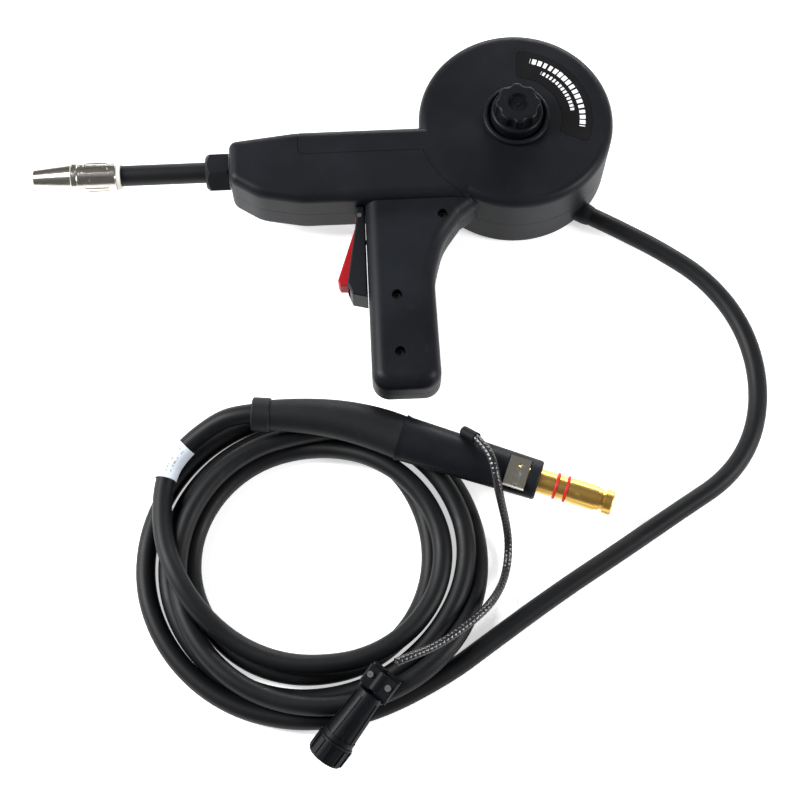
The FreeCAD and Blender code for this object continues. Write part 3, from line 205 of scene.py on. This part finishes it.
class Paint:
    """A material in the making."""

    def __init__(self, name):
        self.material = bpy.data.materials.new(name)
        self.material.use_nodes = True
        self.tree = self.material.node_tree
        self.surface = self.tree.nodes["Principled BSDF"]

    def feed(self, socket, value):
        if isinstance(value, Field):
            self.tree.links.new(value.socket, socket)
        elif isinstance(value, (tuple, list)) and len(value) == 3 and socket.type == "RGBA":
            socket.default_value = (*value, 1.0)
        else:
            socket.default_value = value

    def add(self, kind, settings=None, values=None, output=0):
        """Adds any node: its settings first, then its sockets' values or links."""
        node = self.tree.nodes.new(kind)
        for key, value in (settings or {}).items():
            setattr(node, key, value)
        for key, value in (values or {}).items():
            self.feed(node.inputs[key], value)
        return Field(self, node.outputs[output])

    def place(self):
        return self.add("ShaderNodeTexCoord", output="Object")

    def centred(self, origin, axis=(0, 0, 1)):
        """Object coordinates about a point, with Z turned to an axis."""
        turn = Vector((0, 0, 1)).rotation_difference(Vector(axis).normalized())
        moved = self.add("ShaderNodeVectorMath", {"operation": "SUBTRACT"},
                         {0: self.place(), 1: tuple(origin)})
        back = turn.inverted().to_euler()
        return self.add("ShaderNodeMapping", {"vector_type": "POINT"},
                        {"Vector": moved, "Rotation": tuple(back)})

    def parts(self, vector):
        node = self.tree.nodes.new("ShaderNodeSeparateXYZ")
        self.feed(node.inputs[0], vector)
        return [Field(self, socket) for socket in node.outputs]

    def noise(self, scale, detail=2.0, rough=0.5, stretch=None, vector=None):
        vector = vector or self.place()
        if stretch:
            vector = self.add("ShaderNodeVectorMath", {"operation": "MULTIPLY"},
                              {0: vector, 1: tuple(stretch)})
        return self.add("ShaderNodeTexNoise", None,
                        {"Vector": vector, "Scale": scale, "Detail": detail, "Roughness": rough})

    def mix(self, factor, low, high):
        return self.add("ShaderNodeMix", {"data_type": "RGBA"}, {0: factor, 6: low, 7: high},
                        output=2)

    def set(self, **values):
        for key, value in values.items():
            self.feed(self.surface.inputs[key.replace("_", " ")], value)

    def relief(self, height, depth, strength=1.0):
        """Bump from a height field of the given depth in metres."""
        normal = self.add("ShaderNodeBump", None,
                          {"Height": height, "Distance": depth, "Strength": strength})
        self.feed(self.surface.inputs["Normal"], normal)


def shade(colour, factor):
    return tuple(min(1.0, c * factor) for c in colour)


def moulded(name, colour, gloss, grain, depth, lift=1.9, scuff_highlights=0.5):
    """Moulded plastic: sparked grain, a cloudy sheen and fine pale scuff marks, which are partly
    real wear and partly painted thin highlights.
    """
    paint = Paint(name)
    cloud = paint.noise(14.0, 4.0, 0.55)
    fine = paint.noise(1.0 / grain, 3.0, 0.6)
    marks = paint.noise(260.0, 6.0, 0.62, stretch=(1.0, 0.28, 0.5)).step(0.61, 0.78)
    dust = paint.noise(900.0, 2.0).step(0.64, 0.78) * cloud.step(0.35, 0.75)
    tone = paint.mix(cloud.step(0.3, 0.75), colour, shade(colour, lift))
    # Pale marks: real scuffs (dented and rougher), whose paler colour is also a painted thin
    # highlight
    tone = paint.mix(marks * (0.12 * scuff_highlights), tone, (0.07, 0.072, 0.078))
    tone = paint.mix(dust * 0.05, tone, (0.16, 0.16, 0.157))
    paint.set(Base_Color=tone, Roughness=gloss + (cloud - 0.5) * 0.12 + marks * 0.09 + fine * 0.05,
              Specular_IOR_Level=0.12)
    paint.relief(fine + marks * -0.3, depth)
    return paint.material


def jacket(name, colour, gloss, grain=0.0006, depth=0.00003):
    """Extruded rubber: matt, faintly dusty, with rubbed patches."""
    paint = Paint(name)
    cloud = paint.noise(30.0, 5.0, 0.6)
    fine = paint.noise(1.0 / grain, 4.0, 0.65)
    rubbed = paint.noise(75.0, 5.0, 0.65).step(0.52, 0.8)
    tone = paint.mix(cloud, shade(colour, 0.7), shade(colour, 1.7))
    tone = paint.mix(rubbed * 0.18, tone, (0.030, 0.031, 0.034))
    paint.set(Base_Color=tone, Roughness=gloss + (cloud - 0.5) * 0.14 - rubbed * 0.1,
              Specular_IOR_Level=0.20)
    paint.relief(fine + cloud * 0.6, depth)
    return paint.material


def turned_metal(name, colour, gloss, origin, axis, pitch=0.00035, depth=0.000006, stain=0.35,
                 darker=0.35):
    """Machined or plated metal: tool rings round an axis, smudges and tarnish."""
    paint = Paint(name)
    around = paint.centred(origin, axis)
    _, _, along = paint.parts(around)
    smudge = paint.noise(85.0, 5.0, 0.6)
    rings = (along * (2 * math.pi / pitch) + paint.noise(500.0) * 3.0).sine()
    tarnish = paint.noise(230.0, 6.0, 0.65).step(0.56, 0.8)
    tone = paint.mix(smudge.step(0.3, 0.8), colour, shade(colour, 0.78))
    tone = paint.mix(tarnish * stain, tone, shade(colour, darker))
    paint.set(Base_Color=tone, Metallic=1.0 - tarnish * 0.15,
              Roughness=gloss + smudge * 0.12 + tarnish * 0.18)
    paint.relief(rings + paint.noise(1400.0) * 0.8, depth)
    return paint.material


def badge_print(name):
    """Glossy black badge with a plain white printed mark: two arcs of short bars."""
    paint = Paint(name)
    x, y, _ = paint.parts(paint.place())
    reach = (x * x + y * y) ** 0.5
    bearing = paint.add("ShaderNodeMath", {"operation": "ARCTAN2"}, {0: y, 1: x})
    bearing = bearing * (180 / math.pi)
    uneven = paint.noise(120.0, 0.0) * 0.5
    outer = ((reach - 0.0428).size() < 0.0019) * (bearing > -12.0) * (bearing < 74.0)
    outer = outer * ((bearing / 2.6).wave() > 0.14 + uneven * 0.9)
    inner = ((reach - 0.0368).size() < 0.0013) * (bearing > 4.0) * (bearing < 60.0)
    inner = inner * ((bearing / 2.1).wave() > 0.20 + uneven * 0.9)
    print_mask = outer + inner
    worn = 1.0 - paint.noise(1500.0, 3.0).step(0.6, 0.75) * 0.45
    mask = (print_mask > 0.5) * worn
    smudge = paint.noise(60.0, 4.0)
    ground = paint.mix(smudge, (0.004, 0.004, 0.0045), (0.009, 0.009, 0.010))
    paint.set(Base_Color=paint.mix(mask, ground, (0.72, 0.73, 0.74)),
              Roughness=0.10 + smudge * 0.12 + mask * 0.25)
    paint.relief(mask, 0.00004, 0.5)
    return paint.material


def printed_label(name):
    """Pale blue-white label: grey printed bars in rows, rubbed and slightly creased."""
    paint = Paint(name)
    uv = paint.add("ShaderNodeTexCoord", output="UV")
    along, across, _ = paint.parts(uv)
    rows = (across * 18.0).wave() > 0.55
    ticks = paint.add("ShaderNodeTexNoise", {"noise_dimensions": "2D"},
                      {"Vector": paint.add("ShaderNodeMapping", None,
                                           {"Vector": uv, "Scale": (34.0, 9.0, 1.0)}),
                       "Scale": 1.0, "Detail": 0.0})
    inside = (along > 0.12) * (along < 0.88) * (across > 0.3) * (across < 0.72)
    ink = rows * (ticks > 0.5) * inside
    rub = paint.noise(420.0, 5.0, 0.6)
    ground = paint.mix(rub, (0.56, 0.62, 0.70), (0.70, 0.75, 0.82))
    paint.set(Base_Color=paint.mix(ink * 0.62, ground, (0.10, 0.12, 0.17)),
              Roughness=0.42 + rub * 0.2)
    paint.relief(rub, 0.00008)
    return paint.material


def braided(name, colour):
    """Glossy braided sleeve; the strands themselves are in the mesh."""
    paint = Paint(name)
    uv = paint.add("ShaderNodeTexCoord", output="UV")
    along, around, _ = paint.parts(uv)
    thread = ((along * 900.0 + around * 40.0).sine() * (along * 900.0 - around * 40.0).sine())
    cloud = paint.noise(60.0, 4.0)
    # Pale specks are painted glints off the braid's strands
    glint_speck = paint.noise(2600.0, 1.0).step(0.68, 0.75)
    tone = paint.mix(cloud, shade(colour, 0.6), shade(colour, 2.0))
    tone = paint.mix(glint_speck * 0.4, tone, (0.30, 0.31, 0.33))
    paint.set(Base_Color=tone, Roughness=0.18 + cloud * 0.12 + thread * 0.03)
    paint.relief(thread, 0.00003, 0.4)
    return paint.material


def studio_floor(name):
    """Pale seamless floor with a barely visible tooth."""
    paint = Paint(name)
    cloud = paint.noise(3.0, 3.0)
    white = paint.mix(cloud, (0.90, 0.90, 0.90), (0.93, 0.93, 0.93))
    paint.set(Base_Color=white, Roughness=0.75, Emission_Color=white, Emission_Strength=0.62)
    paint.relief(paint.noise(600.0), 0.00002, 0.2)
    return paint.material


# ------------------------------------------------------------------ meshes from grids
def grid_object(name, grid, material, body="gun", closed=True, capped=True, uv=False):
    """Object from a grid of points (rows along, columns around).

    Each quad joins neighbours on the grid; columns wrap round when closed, and each end
    is closed by one polygon when capped.
    """
    rows, columns = grid.shape[:2]
    index = np.arange(rows * columns).reshape(rows, columns)
    ahead = np.roll(index, -1, axis=1) if closed else index[:, 1:]
    here = index if closed else index[:, :-1]
    quads = np.stack([here[:-1], ahead[:-1], ahead[1:], here[1:]], axis=-1).reshape(-1, 4)
    faces = quads.tolist()
    if capped:
        faces += [index[0, ::-1].tolist(), index[-1].tolist()]
    mesh = bpy.data.meshes.new(name)
    mesh.from_pydata(grid.reshape(-1, 3).tolist(), [], faces)
    if uv:
        layer = mesh.uv_layers.new(name="UVMap")
        u = np.linspace(0, 1, rows)
        v = np.linspace(0, 1, columns + closed)
        corner_u = np.stack([u[:-1], u[:-1], u[1:], u[1:]], -1)[:, None, :]
        corner_v = np.stack([v[:-1], v[1:], v[1:], v[:-1]], -1)[None, :, :]
        shape = (rows - 1, len(v) - 1, 4)
        pairs = np.stack(np.broadcast_arrays(corner_u + np.zeros(shape), corner_v), -1)
        flat = np.zeros((len(mesh.loops), 2), np.float32)
        flat[:quads.size] = pairs.reshape(-1, 2)
        layer.data.foreach_set("uv", flat.ravel())
    mesh.materials.append(material)
    mesh.shade_smooth()
    mesh.set_sharp_from_angle(angle=math.radians(40))
    mesh.update()
    piece = bpy.data.objects.new(name, mesh)
    bpy.context.scene.collection.objects.link(piece)
    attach(piece, body)
    return piece


def spline_object(name, points, radius=0.0, resolution=10):
    """One open NURBS spline of order 3 through its end points, with points as controls."""
    curve = bpy.data.curves.new(name, "CURVE")
    curve.dimensions = "3D"
    curve.bevel_depth = radius
    curve.bevel_resolution = 6
    curve.use_fill_caps = radius > 0
    curve.resolution_u = resolution
    spline = curve.splines.new("NURBS")
    spline.points.add(len(points) - 1)
    controls = np.ones((len(points), 4))
    controls[:, :3] = points
    spline.points.foreach_set("co", controls.ravel())
    spline.order_u = 3
    spline.use_endpoint_u = True
    spline.use_smooth = True
    piece = bpy.data.objects.new(name, curve)
    bpy.context.scene.collection.objects.link(piece)
    return piece


def line_of(points, resolution=24):
    """Points of the NURBS line itself, read from a curve with no bevel."""
    thread = spline_object("thread", points, 0.0, resolution)
    bpy.context.view_layer.update()
    mesh = bpy.data.meshes.new_from_object(thread)
    line = np.zeros(len(mesh.vertices) * 3)
    mesh.vertices.foreach_get("co", line)
    curve = thread.data
    bpy.data.objects.remove(thread)
    bpy.data.curves.remove(curve)
    bpy.data.meshes.remove(mesh)
    return line.reshape(-1, 3)


def even_steps(line, spacing, start=0.0, end=None):
    """Points at an even spacing along a line, and how far along each one is."""
    steps = np.linalg.norm(np.diff(line, axis=0), axis=1)
    reach = np.concatenate([[0.0], np.cumsum(steps)])
    end = reach[-1] if end is None else end
    marks = np.linspace(start, end, max(2, int(round((end - start) / spacing)) + 1))
    return np.stack([np.interp(marks, reach, line[:, k]) for k in range(3)], -1), marks


def swept(line, radius, columns, turn=0.0, span=2 * math.pi):
    """Grid round a line: each ring is centre + radius * (cos a * side + sin a * up).

    side is the level direction across the line and up is square to both; radius may vary
    along and around, as an array of (rows, columns).
    """
    heading = np.gradient(line, axis=0)
    heading /= np.linalg.norm(heading, axis=1, keepdims=True)
    side = np.cross(heading, [0.0, 0.0, 1.0])
    side /= np.linalg.norm(side, axis=1, keepdims=True)
    up = np.cross(side, heading)
    whole = abs(span - 2 * math.pi) < 1e-6
    angle = turn + np.linspace(0, span, columns, endpoint=not whole)
    out = np.cos(angle)[None, :, None] * side[:, None] + np.sin(angle)[None, :, None] * up[:, None]
    return line[:, None] + np.broadcast_to(radius, out.shape[:2])[..., None] * out


# ------------------------------------------------------------------ routes
def coil_points(points_per_turn):
    """Control points of the turns: bearing falls evenly, distance and height follow stations."""
    bearing, reach, height = (np.array(column, float) for column in zip(*COIL_STATIONS))
    fine = np.arange(bearing[0], bearing[-1], -1.0)
    window = np.hanning(19)
    window /= window.sum()

    def eased(values):
        values = np.interp(-fine, -bearing, values)
        padded = np.pad(values, 9, mode="edge")
        return np.convolve(padded, window, "valid")

    reach, height = eased(reach), eased(height)
    pick = np.arange(0, len(fine), 360.0 / points_per_turn).astype(int)
    angle = np.radians(fine[pick])
    x = COIL_CENTRE[0] + MM * reach[pick] * np.cos(angle)
    y = COIL_CENTRE[1] + MM * reach[pick] * np.sin(angle)
    return np.stack([x, y, MM * height[pick]], -1).tolist()


def cable_points():
    """The whole cable's control points: out of the relief, over the floor, coil and plug."""
    start = Vector(RELIEF_MOUTH)
    lead_in = [tuple(start), tuple(start + Vector(RELIEF_HEADING) * STRAIGHT_START)]
    turns = coil_points(bpy.context.scene.gun_cables.points_per_turn)
    return lead_in + CABLE_RUN + turns + CABLE_TAIL


# ------------------------------------------------------------------ operators
class GUN_OT_camera(bpy.types.Operator):
    """Sets the camera above and in front of the gun"""

    bl_idname = "gun.camera"
    bl_label = "Camera"

    def execute(self, context):
        sizes = context.scene.gun_stage
        down, heading = sizes.depression, sizes.heading
        forward = Vector((math.sin(heading) * math.cos(down), math.cos(heading) * math.cos(down),
                          -math.sin(down)))
        right = Vector((math.cos(heading), -math.sin(heading), 0.0))
        up = right.cross(forward)
        data = bpy.data.cameras.new("camera")
        data.lens = sizes.lens
        data.sensor_width = 36.0
        data.clip_end = 20.0
        camera = bpy.data.objects.new("camera", data)
        turn = Matrix((right, up, -forward)).transposed().to_4x4()
        camera.matrix_world = Matrix.Translation(Vector(sizes.place)) @ turn
        context.scene.collection.objects.link(camera)
        context.scene.camera = camera
        return {"FINISHED"}


class GUN_OT_cable(bpy.types.Operator):
    """Lays the main cable from the canister through the coil to the plug"""

    bl_idname = "gun.cable"
    bl_label = "Main cable"

    def execute(self, context):
        sizes = context.scene.gun_cables
        points = cable_points()
        cable = spline_object("main_cable", points, sizes.diameter / 2, 8)
        cable.data.materials.append(finish("cable_rubber"))
        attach(cable, "gun")
        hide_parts("cable_run", "cable_coil", "cable_tail")
        line = line_of(points)

        label = wrap_label(line, sizes.diameter / 2)
        return {"FINISHED"}


def wrap_label(line, cable_radius):
    """Label wrapped most of the way round the cable near the plug.

    The grid is the cable's radius and a little more, swept along the label's length of the
    line and 215 degrees round it. A modifier gives it its wall.
    """
    steps = np.linalg.norm(np.diff(line, axis=0), axis=1)
    reach = np.concatenate([[0.0], np.cumsum(steps)])
    tail = reach > reach[-1] - 0.2
    gap = np.linalg.norm(line[:, :2] - np.array(LABEL_SPOT), axis=1) + np.where(tail, 0.0, 9.0)
    middle = reach[int(np.argmin(gap))]
    half = LABEL_LENGTH / 2
    path, _ = even_steps(line, 0.0008, middle - half, middle + half)
    grid = swept(path, cable_radius + 0.00045, 56, math.radians(-15), math.radians(215))
    label = grid_object("cable_label_wrap", grid, finish("label_print"),
                        closed=False, capped=False, uv=True)
    wall = label.modifiers.new("wall", "SOLIDIFY")
    wall.thickness = 0.00025
    wall.offset = -1.0
    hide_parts("cable_label")
    return label


class GUN_OT_lead(bpy.types.Operator):
    """Lays the braided control lead from the plug to the connector"""

    bl_idname = "gun.lead"
    bl_label = "Control lead"

    def execute(self, context):
        """Radius is a base plus the higher of two cosine strands that wind opposite ways."""
        sizes = context.scene.gun_cables
        line, along = even_steps(line_of(LEAD_RUN, 32), 0.00028)
        radius = sizes.lead_diameter / 2
        columns = 40
        angle = np.linspace(0, 2 * math.pi, columns, endpoint=False)[None, :]
        twist = along[:, None] * 2 * math.pi / sizes.braid_pitch
        strands = np.maximum(np.abs(np.cos(1.5 * (angle + twist))),
                             np.abs(np.cos(1.5 * (angle - twist))))
        relief = radius * (0.90 + 0.13 * strands ** 0.7)
        lead = grid_object("braided_lead", swept(line, relief, columns), finish("braid"),
                           uv=True)
        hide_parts("control_lead")
        return {"FINISHED"}


class GUN_OT_winding(bpy.types.Operator):
    """Winds the wire on the spool"""

    bl_idname = "gun.winding"
    bl_label = "Wire winding"

    def execute(self, context):
        """Ring of turns: radius is a base plus half a circle's height in each wire pitch."""
        low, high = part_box("wire_winding")
        outer, inner = high[0], 0.0256
        pitch = 0.0011
        count = int((high[2] - low[2]) / pitch)
        steps = count * 6
        height = np.linspace(low[2] + 0.0001, high[2] - 0.0001, steps)
        phase = np.mod((height - height[0]) / (height[-1] - height[0]) * count, 1.0) * 2 - 1
        bulge = np.sqrt(np.clip(1 - phase ** 2, 0, 1)) * 0.0005
        sag = 0.0004 * np.sin(height * 700.0) + 0.0003 * np.sin(height * 1900.0)
        radius = np.concatenate([[inner], outer - 0.0009 + sag + bulge, [inner]])
        height = np.concatenate([[height[0]], height, [height[-1]]])
        angle = np.linspace(0, 2 * math.pi, 128, endpoint=False)
        x = radius[:, None] * np.cos(angle)
        y = radius[:, None] * np.sin(angle)
        grid = np.stack([x, y, np.broadcast_to(height[:, None], x.shape)], -1)
        grid = np.concatenate([grid, grid[:1]])
        winding = grid_object("wound_wire", grid, finish("wire_metal"), "spool",
                              capped=False)
        weld(winding)
        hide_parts("wire_winding")
        return {"FINISHED"}


def weld(piece):
    """Merges a mesh's doubles and turns its faces outwards."""
    mesh = bmesh.new()
    mesh.from_mesh(piece.data)
    bmesh.ops.remove_doubles(mesh, verts=mesh.verts, dist=1e-6)
    bmesh.ops.recalc_face_normals(mesh, faces=mesh.faces)
    mesh.to_mesh(piece.data)
    mesh.free()


class GUN_OT_finishes(bpy.types.Operator):
    """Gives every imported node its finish"""

    bl_idname = "gun.finishes"
    bl_label = "Finishes"

    def execute(self, context):
        for look, names in NODE_FINISHES.items():
            for name in names.split():
                node = NODES[name]
                node.data.materials.clear()
                node.data.materials.append(finish(look))
        left = set(NODES) - {n for names in NODE_FINISHES.values() for n in names.split()}
        if left:
            raise RuntimeError(f"nodes without a finish: {sorted(left)}")
        return {"FINISHED"}


class GUN_OT_stage(bpy.types.Operator):
    """Lays the floor and hangs the soft lights"""

    bl_idname = "gun.stage"
    bl_label = "Stage"

    def execute(self, context):
        side, depth = 8.0, -0.0002
        corners = [(-side, -side, depth), (side, -side, depth), (side, side, depth),
                   (-side, side, depth)]
        mesh = bpy.data.meshes.new("floor")
        mesh.from_pydata(corners, [], [(0, 1, 2, 3)])
        mesh.materials.append(studio_floor("floor_finish"))
        floor = bpy.data.objects.new("floor", mesh)
        context.scene.collection.objects.link(floor)
        # Each lamp's name, place, width and height in metres, and power in watts.
        lamps = [
            ("left_light", (-1.35, 0.10, 1.05), (0.6, 1.1), 50.0),
            ("far_light", (0.45, 1.80, 0.60), (1.6, 0.4), 38.0),
            ("right_light", (1.40, -0.60, 0.90), (0.5, 0.9), 26.0),
        ]
        target = Vector((-0.05, -0.12, 0.03))
        for name, place, size, power in lamps:
            data = bpy.data.lights.new(name, "AREA")
            data.shape = "RECTANGLE"
            data.size, data.size_y = size
            data.energy = power
            lamp = bpy.data.objects.new(name, data)
            lamp.location = place
            lamp.rotation_euler = (target - Vector(place)).to_track_quat("-Z", "Y").to_euler()
            context.scene.collection.objects.link(lamp)
        world = bpy.data.worlds.new("studio")
        world.use_nodes = True
        world.node_tree.nodes["Background"].inputs["Color"].default_value = (1, 1, 1, 1)
        world.node_tree.nodes["Background"].inputs["Strength"].default_value = 0.16
        context.scene.world = world
        context.scene.view_settings.view_transform = "Standard"
        return {"FINISHED"}


# ------------------------------------------------------------------ finishes by name
BARREL = (0.0, -0.020, 0.034)
PIN_AXIS = (math.cos(math.radians(-20.8)), math.sin(math.radians(-20.8)), 0.0)
PIN_END = (-0.0016, -0.2380, 0.0318)


def recipes():
    """Every finish's recipe, by name."""
    tones = bpy.context.scene.gun_finishes
    plastic, rubber = tuple(tones.plastic), tuple(tones.rubber)
    steel = (0.50, 0.50, 0.51)
    return {
        "casing": lambda n: moulded(n, plastic, 0.40, 0.0009, 0.00004),
        "knob_plastic": lambda n: moulded(n, shade(plastic, 0.85), 0.36, 0.0011, 0.00005),
        "hard_plastic": lambda n: moulded(n, shade(plastic, 0.8), 0.42, 0.0007, 0.00006, 2.2, 1.2),
        "trigger_red": lambda n: moulded(n, tuple(tones.trigger), 0.42, 0.0008, 0.00002, 0.8, 0.0),
        "pale_plastic": lambda n: moulded(n, (0.58, 0.57, 0.52), 0.45, 0.0009, 0.00003, 1.1, 0.3),
        "cable_rubber": lambda n: jacket(n, rubber, 0.50),
        "boot_rubber": lambda n: jacket(n, shade(rubber, 1.15), 0.56, 0.0008, 0.00005),
        "red_rubber": lambda n: jacket(n, (0.42, 0.018, 0.014), 0.4),
        "braid": lambda n: braided(n, (0.010, 0.010, 0.011)),
        "badge": badge_print,
        "label_print": printed_label,
        "nickel": lambda n: turned_metal(n, shade(tuple(tones.nickel), 1.25), 0.14, BARREL,
                                         (1, 0, 0)),
        "nickel_flat": lambda n: turned_metal(n, (0.66, 0.62, 0.54), 0.20, PIN_END, PIN_AXIS),
        "brass_pin": lambda n: turned_metal(n, tuple(tones.brass), 0.26, PIN_END, PIN_AXIS,
                                            0.0004, 0.000008, 0.4, 0.5),
        "brass": lambda n: turned_metal(n, tuple(tones.brass), 0.25, BARREL, (1, 0, 0)),
        "copper": lambda n: turned_metal(n, (0.70, 0.33, 0.19), 0.28, BARREL, (1, 0, 0)),
        "steel": lambda n: turned_metal(n, steel, 0.22, (0, 0, 0), (0, 0, 1)),
        "black_steel": lambda n: turned_metal(n, (0.060, 0.060, 0.064), 0.34, (0, 0, 0), (0, 0, 1)),
        "wire_metal": lambda n: turned_metal(n, (0.74, 0.74, 0.75), 0.26, (0, 0, 0), (0, 0, 1),
                                             0.0006, 0.000004, 0.1),
    }


def finish(name):
    """The named material, made the first time it is asked for."""
    return bpy.data.materials.get(name) or recipes()[name](name)


NODE_FINISHES = {
    "casing": "housing_left housing_right canister_base canister_cover trigger_guard plug_handle",
    "knob_plastic": "cover_knob",
    "hard_plastic": "coupling_ring connector_shell cable_clamp cable_gland microswitch barrel_nut",
    "badge": "cover_badge",
    "trigger_red": "trigger",
    "pale_plastic": "contact_insert front_bushing nozzle_insulator switch_plunger wire_spool",
    "label_print": "cable_label",
    "cable_rubber": "cable_coil cable_run cable_tail gas_hose power_lead barrel_jacket",
    "boot_rubber": "strain_relief plug_boot plug_collar lead_sleeve control_lead",
    "red_rubber": "pin_seals",
    "nickel": "gas_nozzle",
    "nickel_flat": "spring_clip",
    "brass_pin": "power_pin",
    "brass": "power_block gas_diffuser inlet_guide outlet_guide",
    "copper": "contact_tip conductor_tube",
    "black_steel": "housing_screws",
    "steel": "spool_spindle brake_washer brake_nut feed_plate idler_arm arm_spring "
             "drive_shaft drive_roll roll_screw idler_roll trigger_pin clamp_screws gearbox "
             "drive_motor wire_liner",
    "wire_metal": "wire_winding welding_wire",
}


class GUN_PT_panel(bpy.types.Panel):
    """Lists the gun's operators and sizes"""

    bl_idname = "GUN_PT_panel"
    bl_label = "Spool gun"
    bl_space_type = "VIEW_3D"
    bl_region_type = "UI"
    bl_category = "Spool gun"

    def draw(self, context):
        for operator in OPERATORS:
            self.layout.operator(operator.bl_idname)
        for group in ("gun_cables", "gun_finishes", "gun_stage"):
            column = self.layout.column()
            settings = getattr(context.scene, group)
            for prop in settings.bl_rna.properties:
                if prop.identifier not in ("rna_type", "name"):
                    column.prop(settings, prop.identifier)


OPERATORS = (GUN_OT_camera, GUN_OT_cable, GUN_OT_lead, GUN_OT_winding, GUN_OT_finishes,
             GUN_OT_stage)
GROUPS = {"gun_cables": CableSizes, "gun_finishes": FinishColours, "gun_stage": StageSizes}


def register():
    for name, group in GROUPS.items():
        bpy.utils.register_class(group)
        setattr(bpy.types.Scene, name, PointerProperty(type=group))
    for operator in OPERATORS + (GUN_PT_panel,):
        bpy.utils.register_class(operator)


def unregister():
    for operator in reversed(OPERATORS + (GUN_PT_panel,)):
        bpy.utils.unregister_class(operator)
    for name, group in GROUPS.items():
        delattr(bpy.types.Scene, name)
        bpy.utils.unregister_class(group)


def main():
    register()
    for step in OPERATORS:
        prefix, name = step.bl_idname.split(".")
        getattr(getattr(bpy.ops, prefix), name)()
    bpy.context.view_layer.update()


if __name__ == "__main__":
    main()
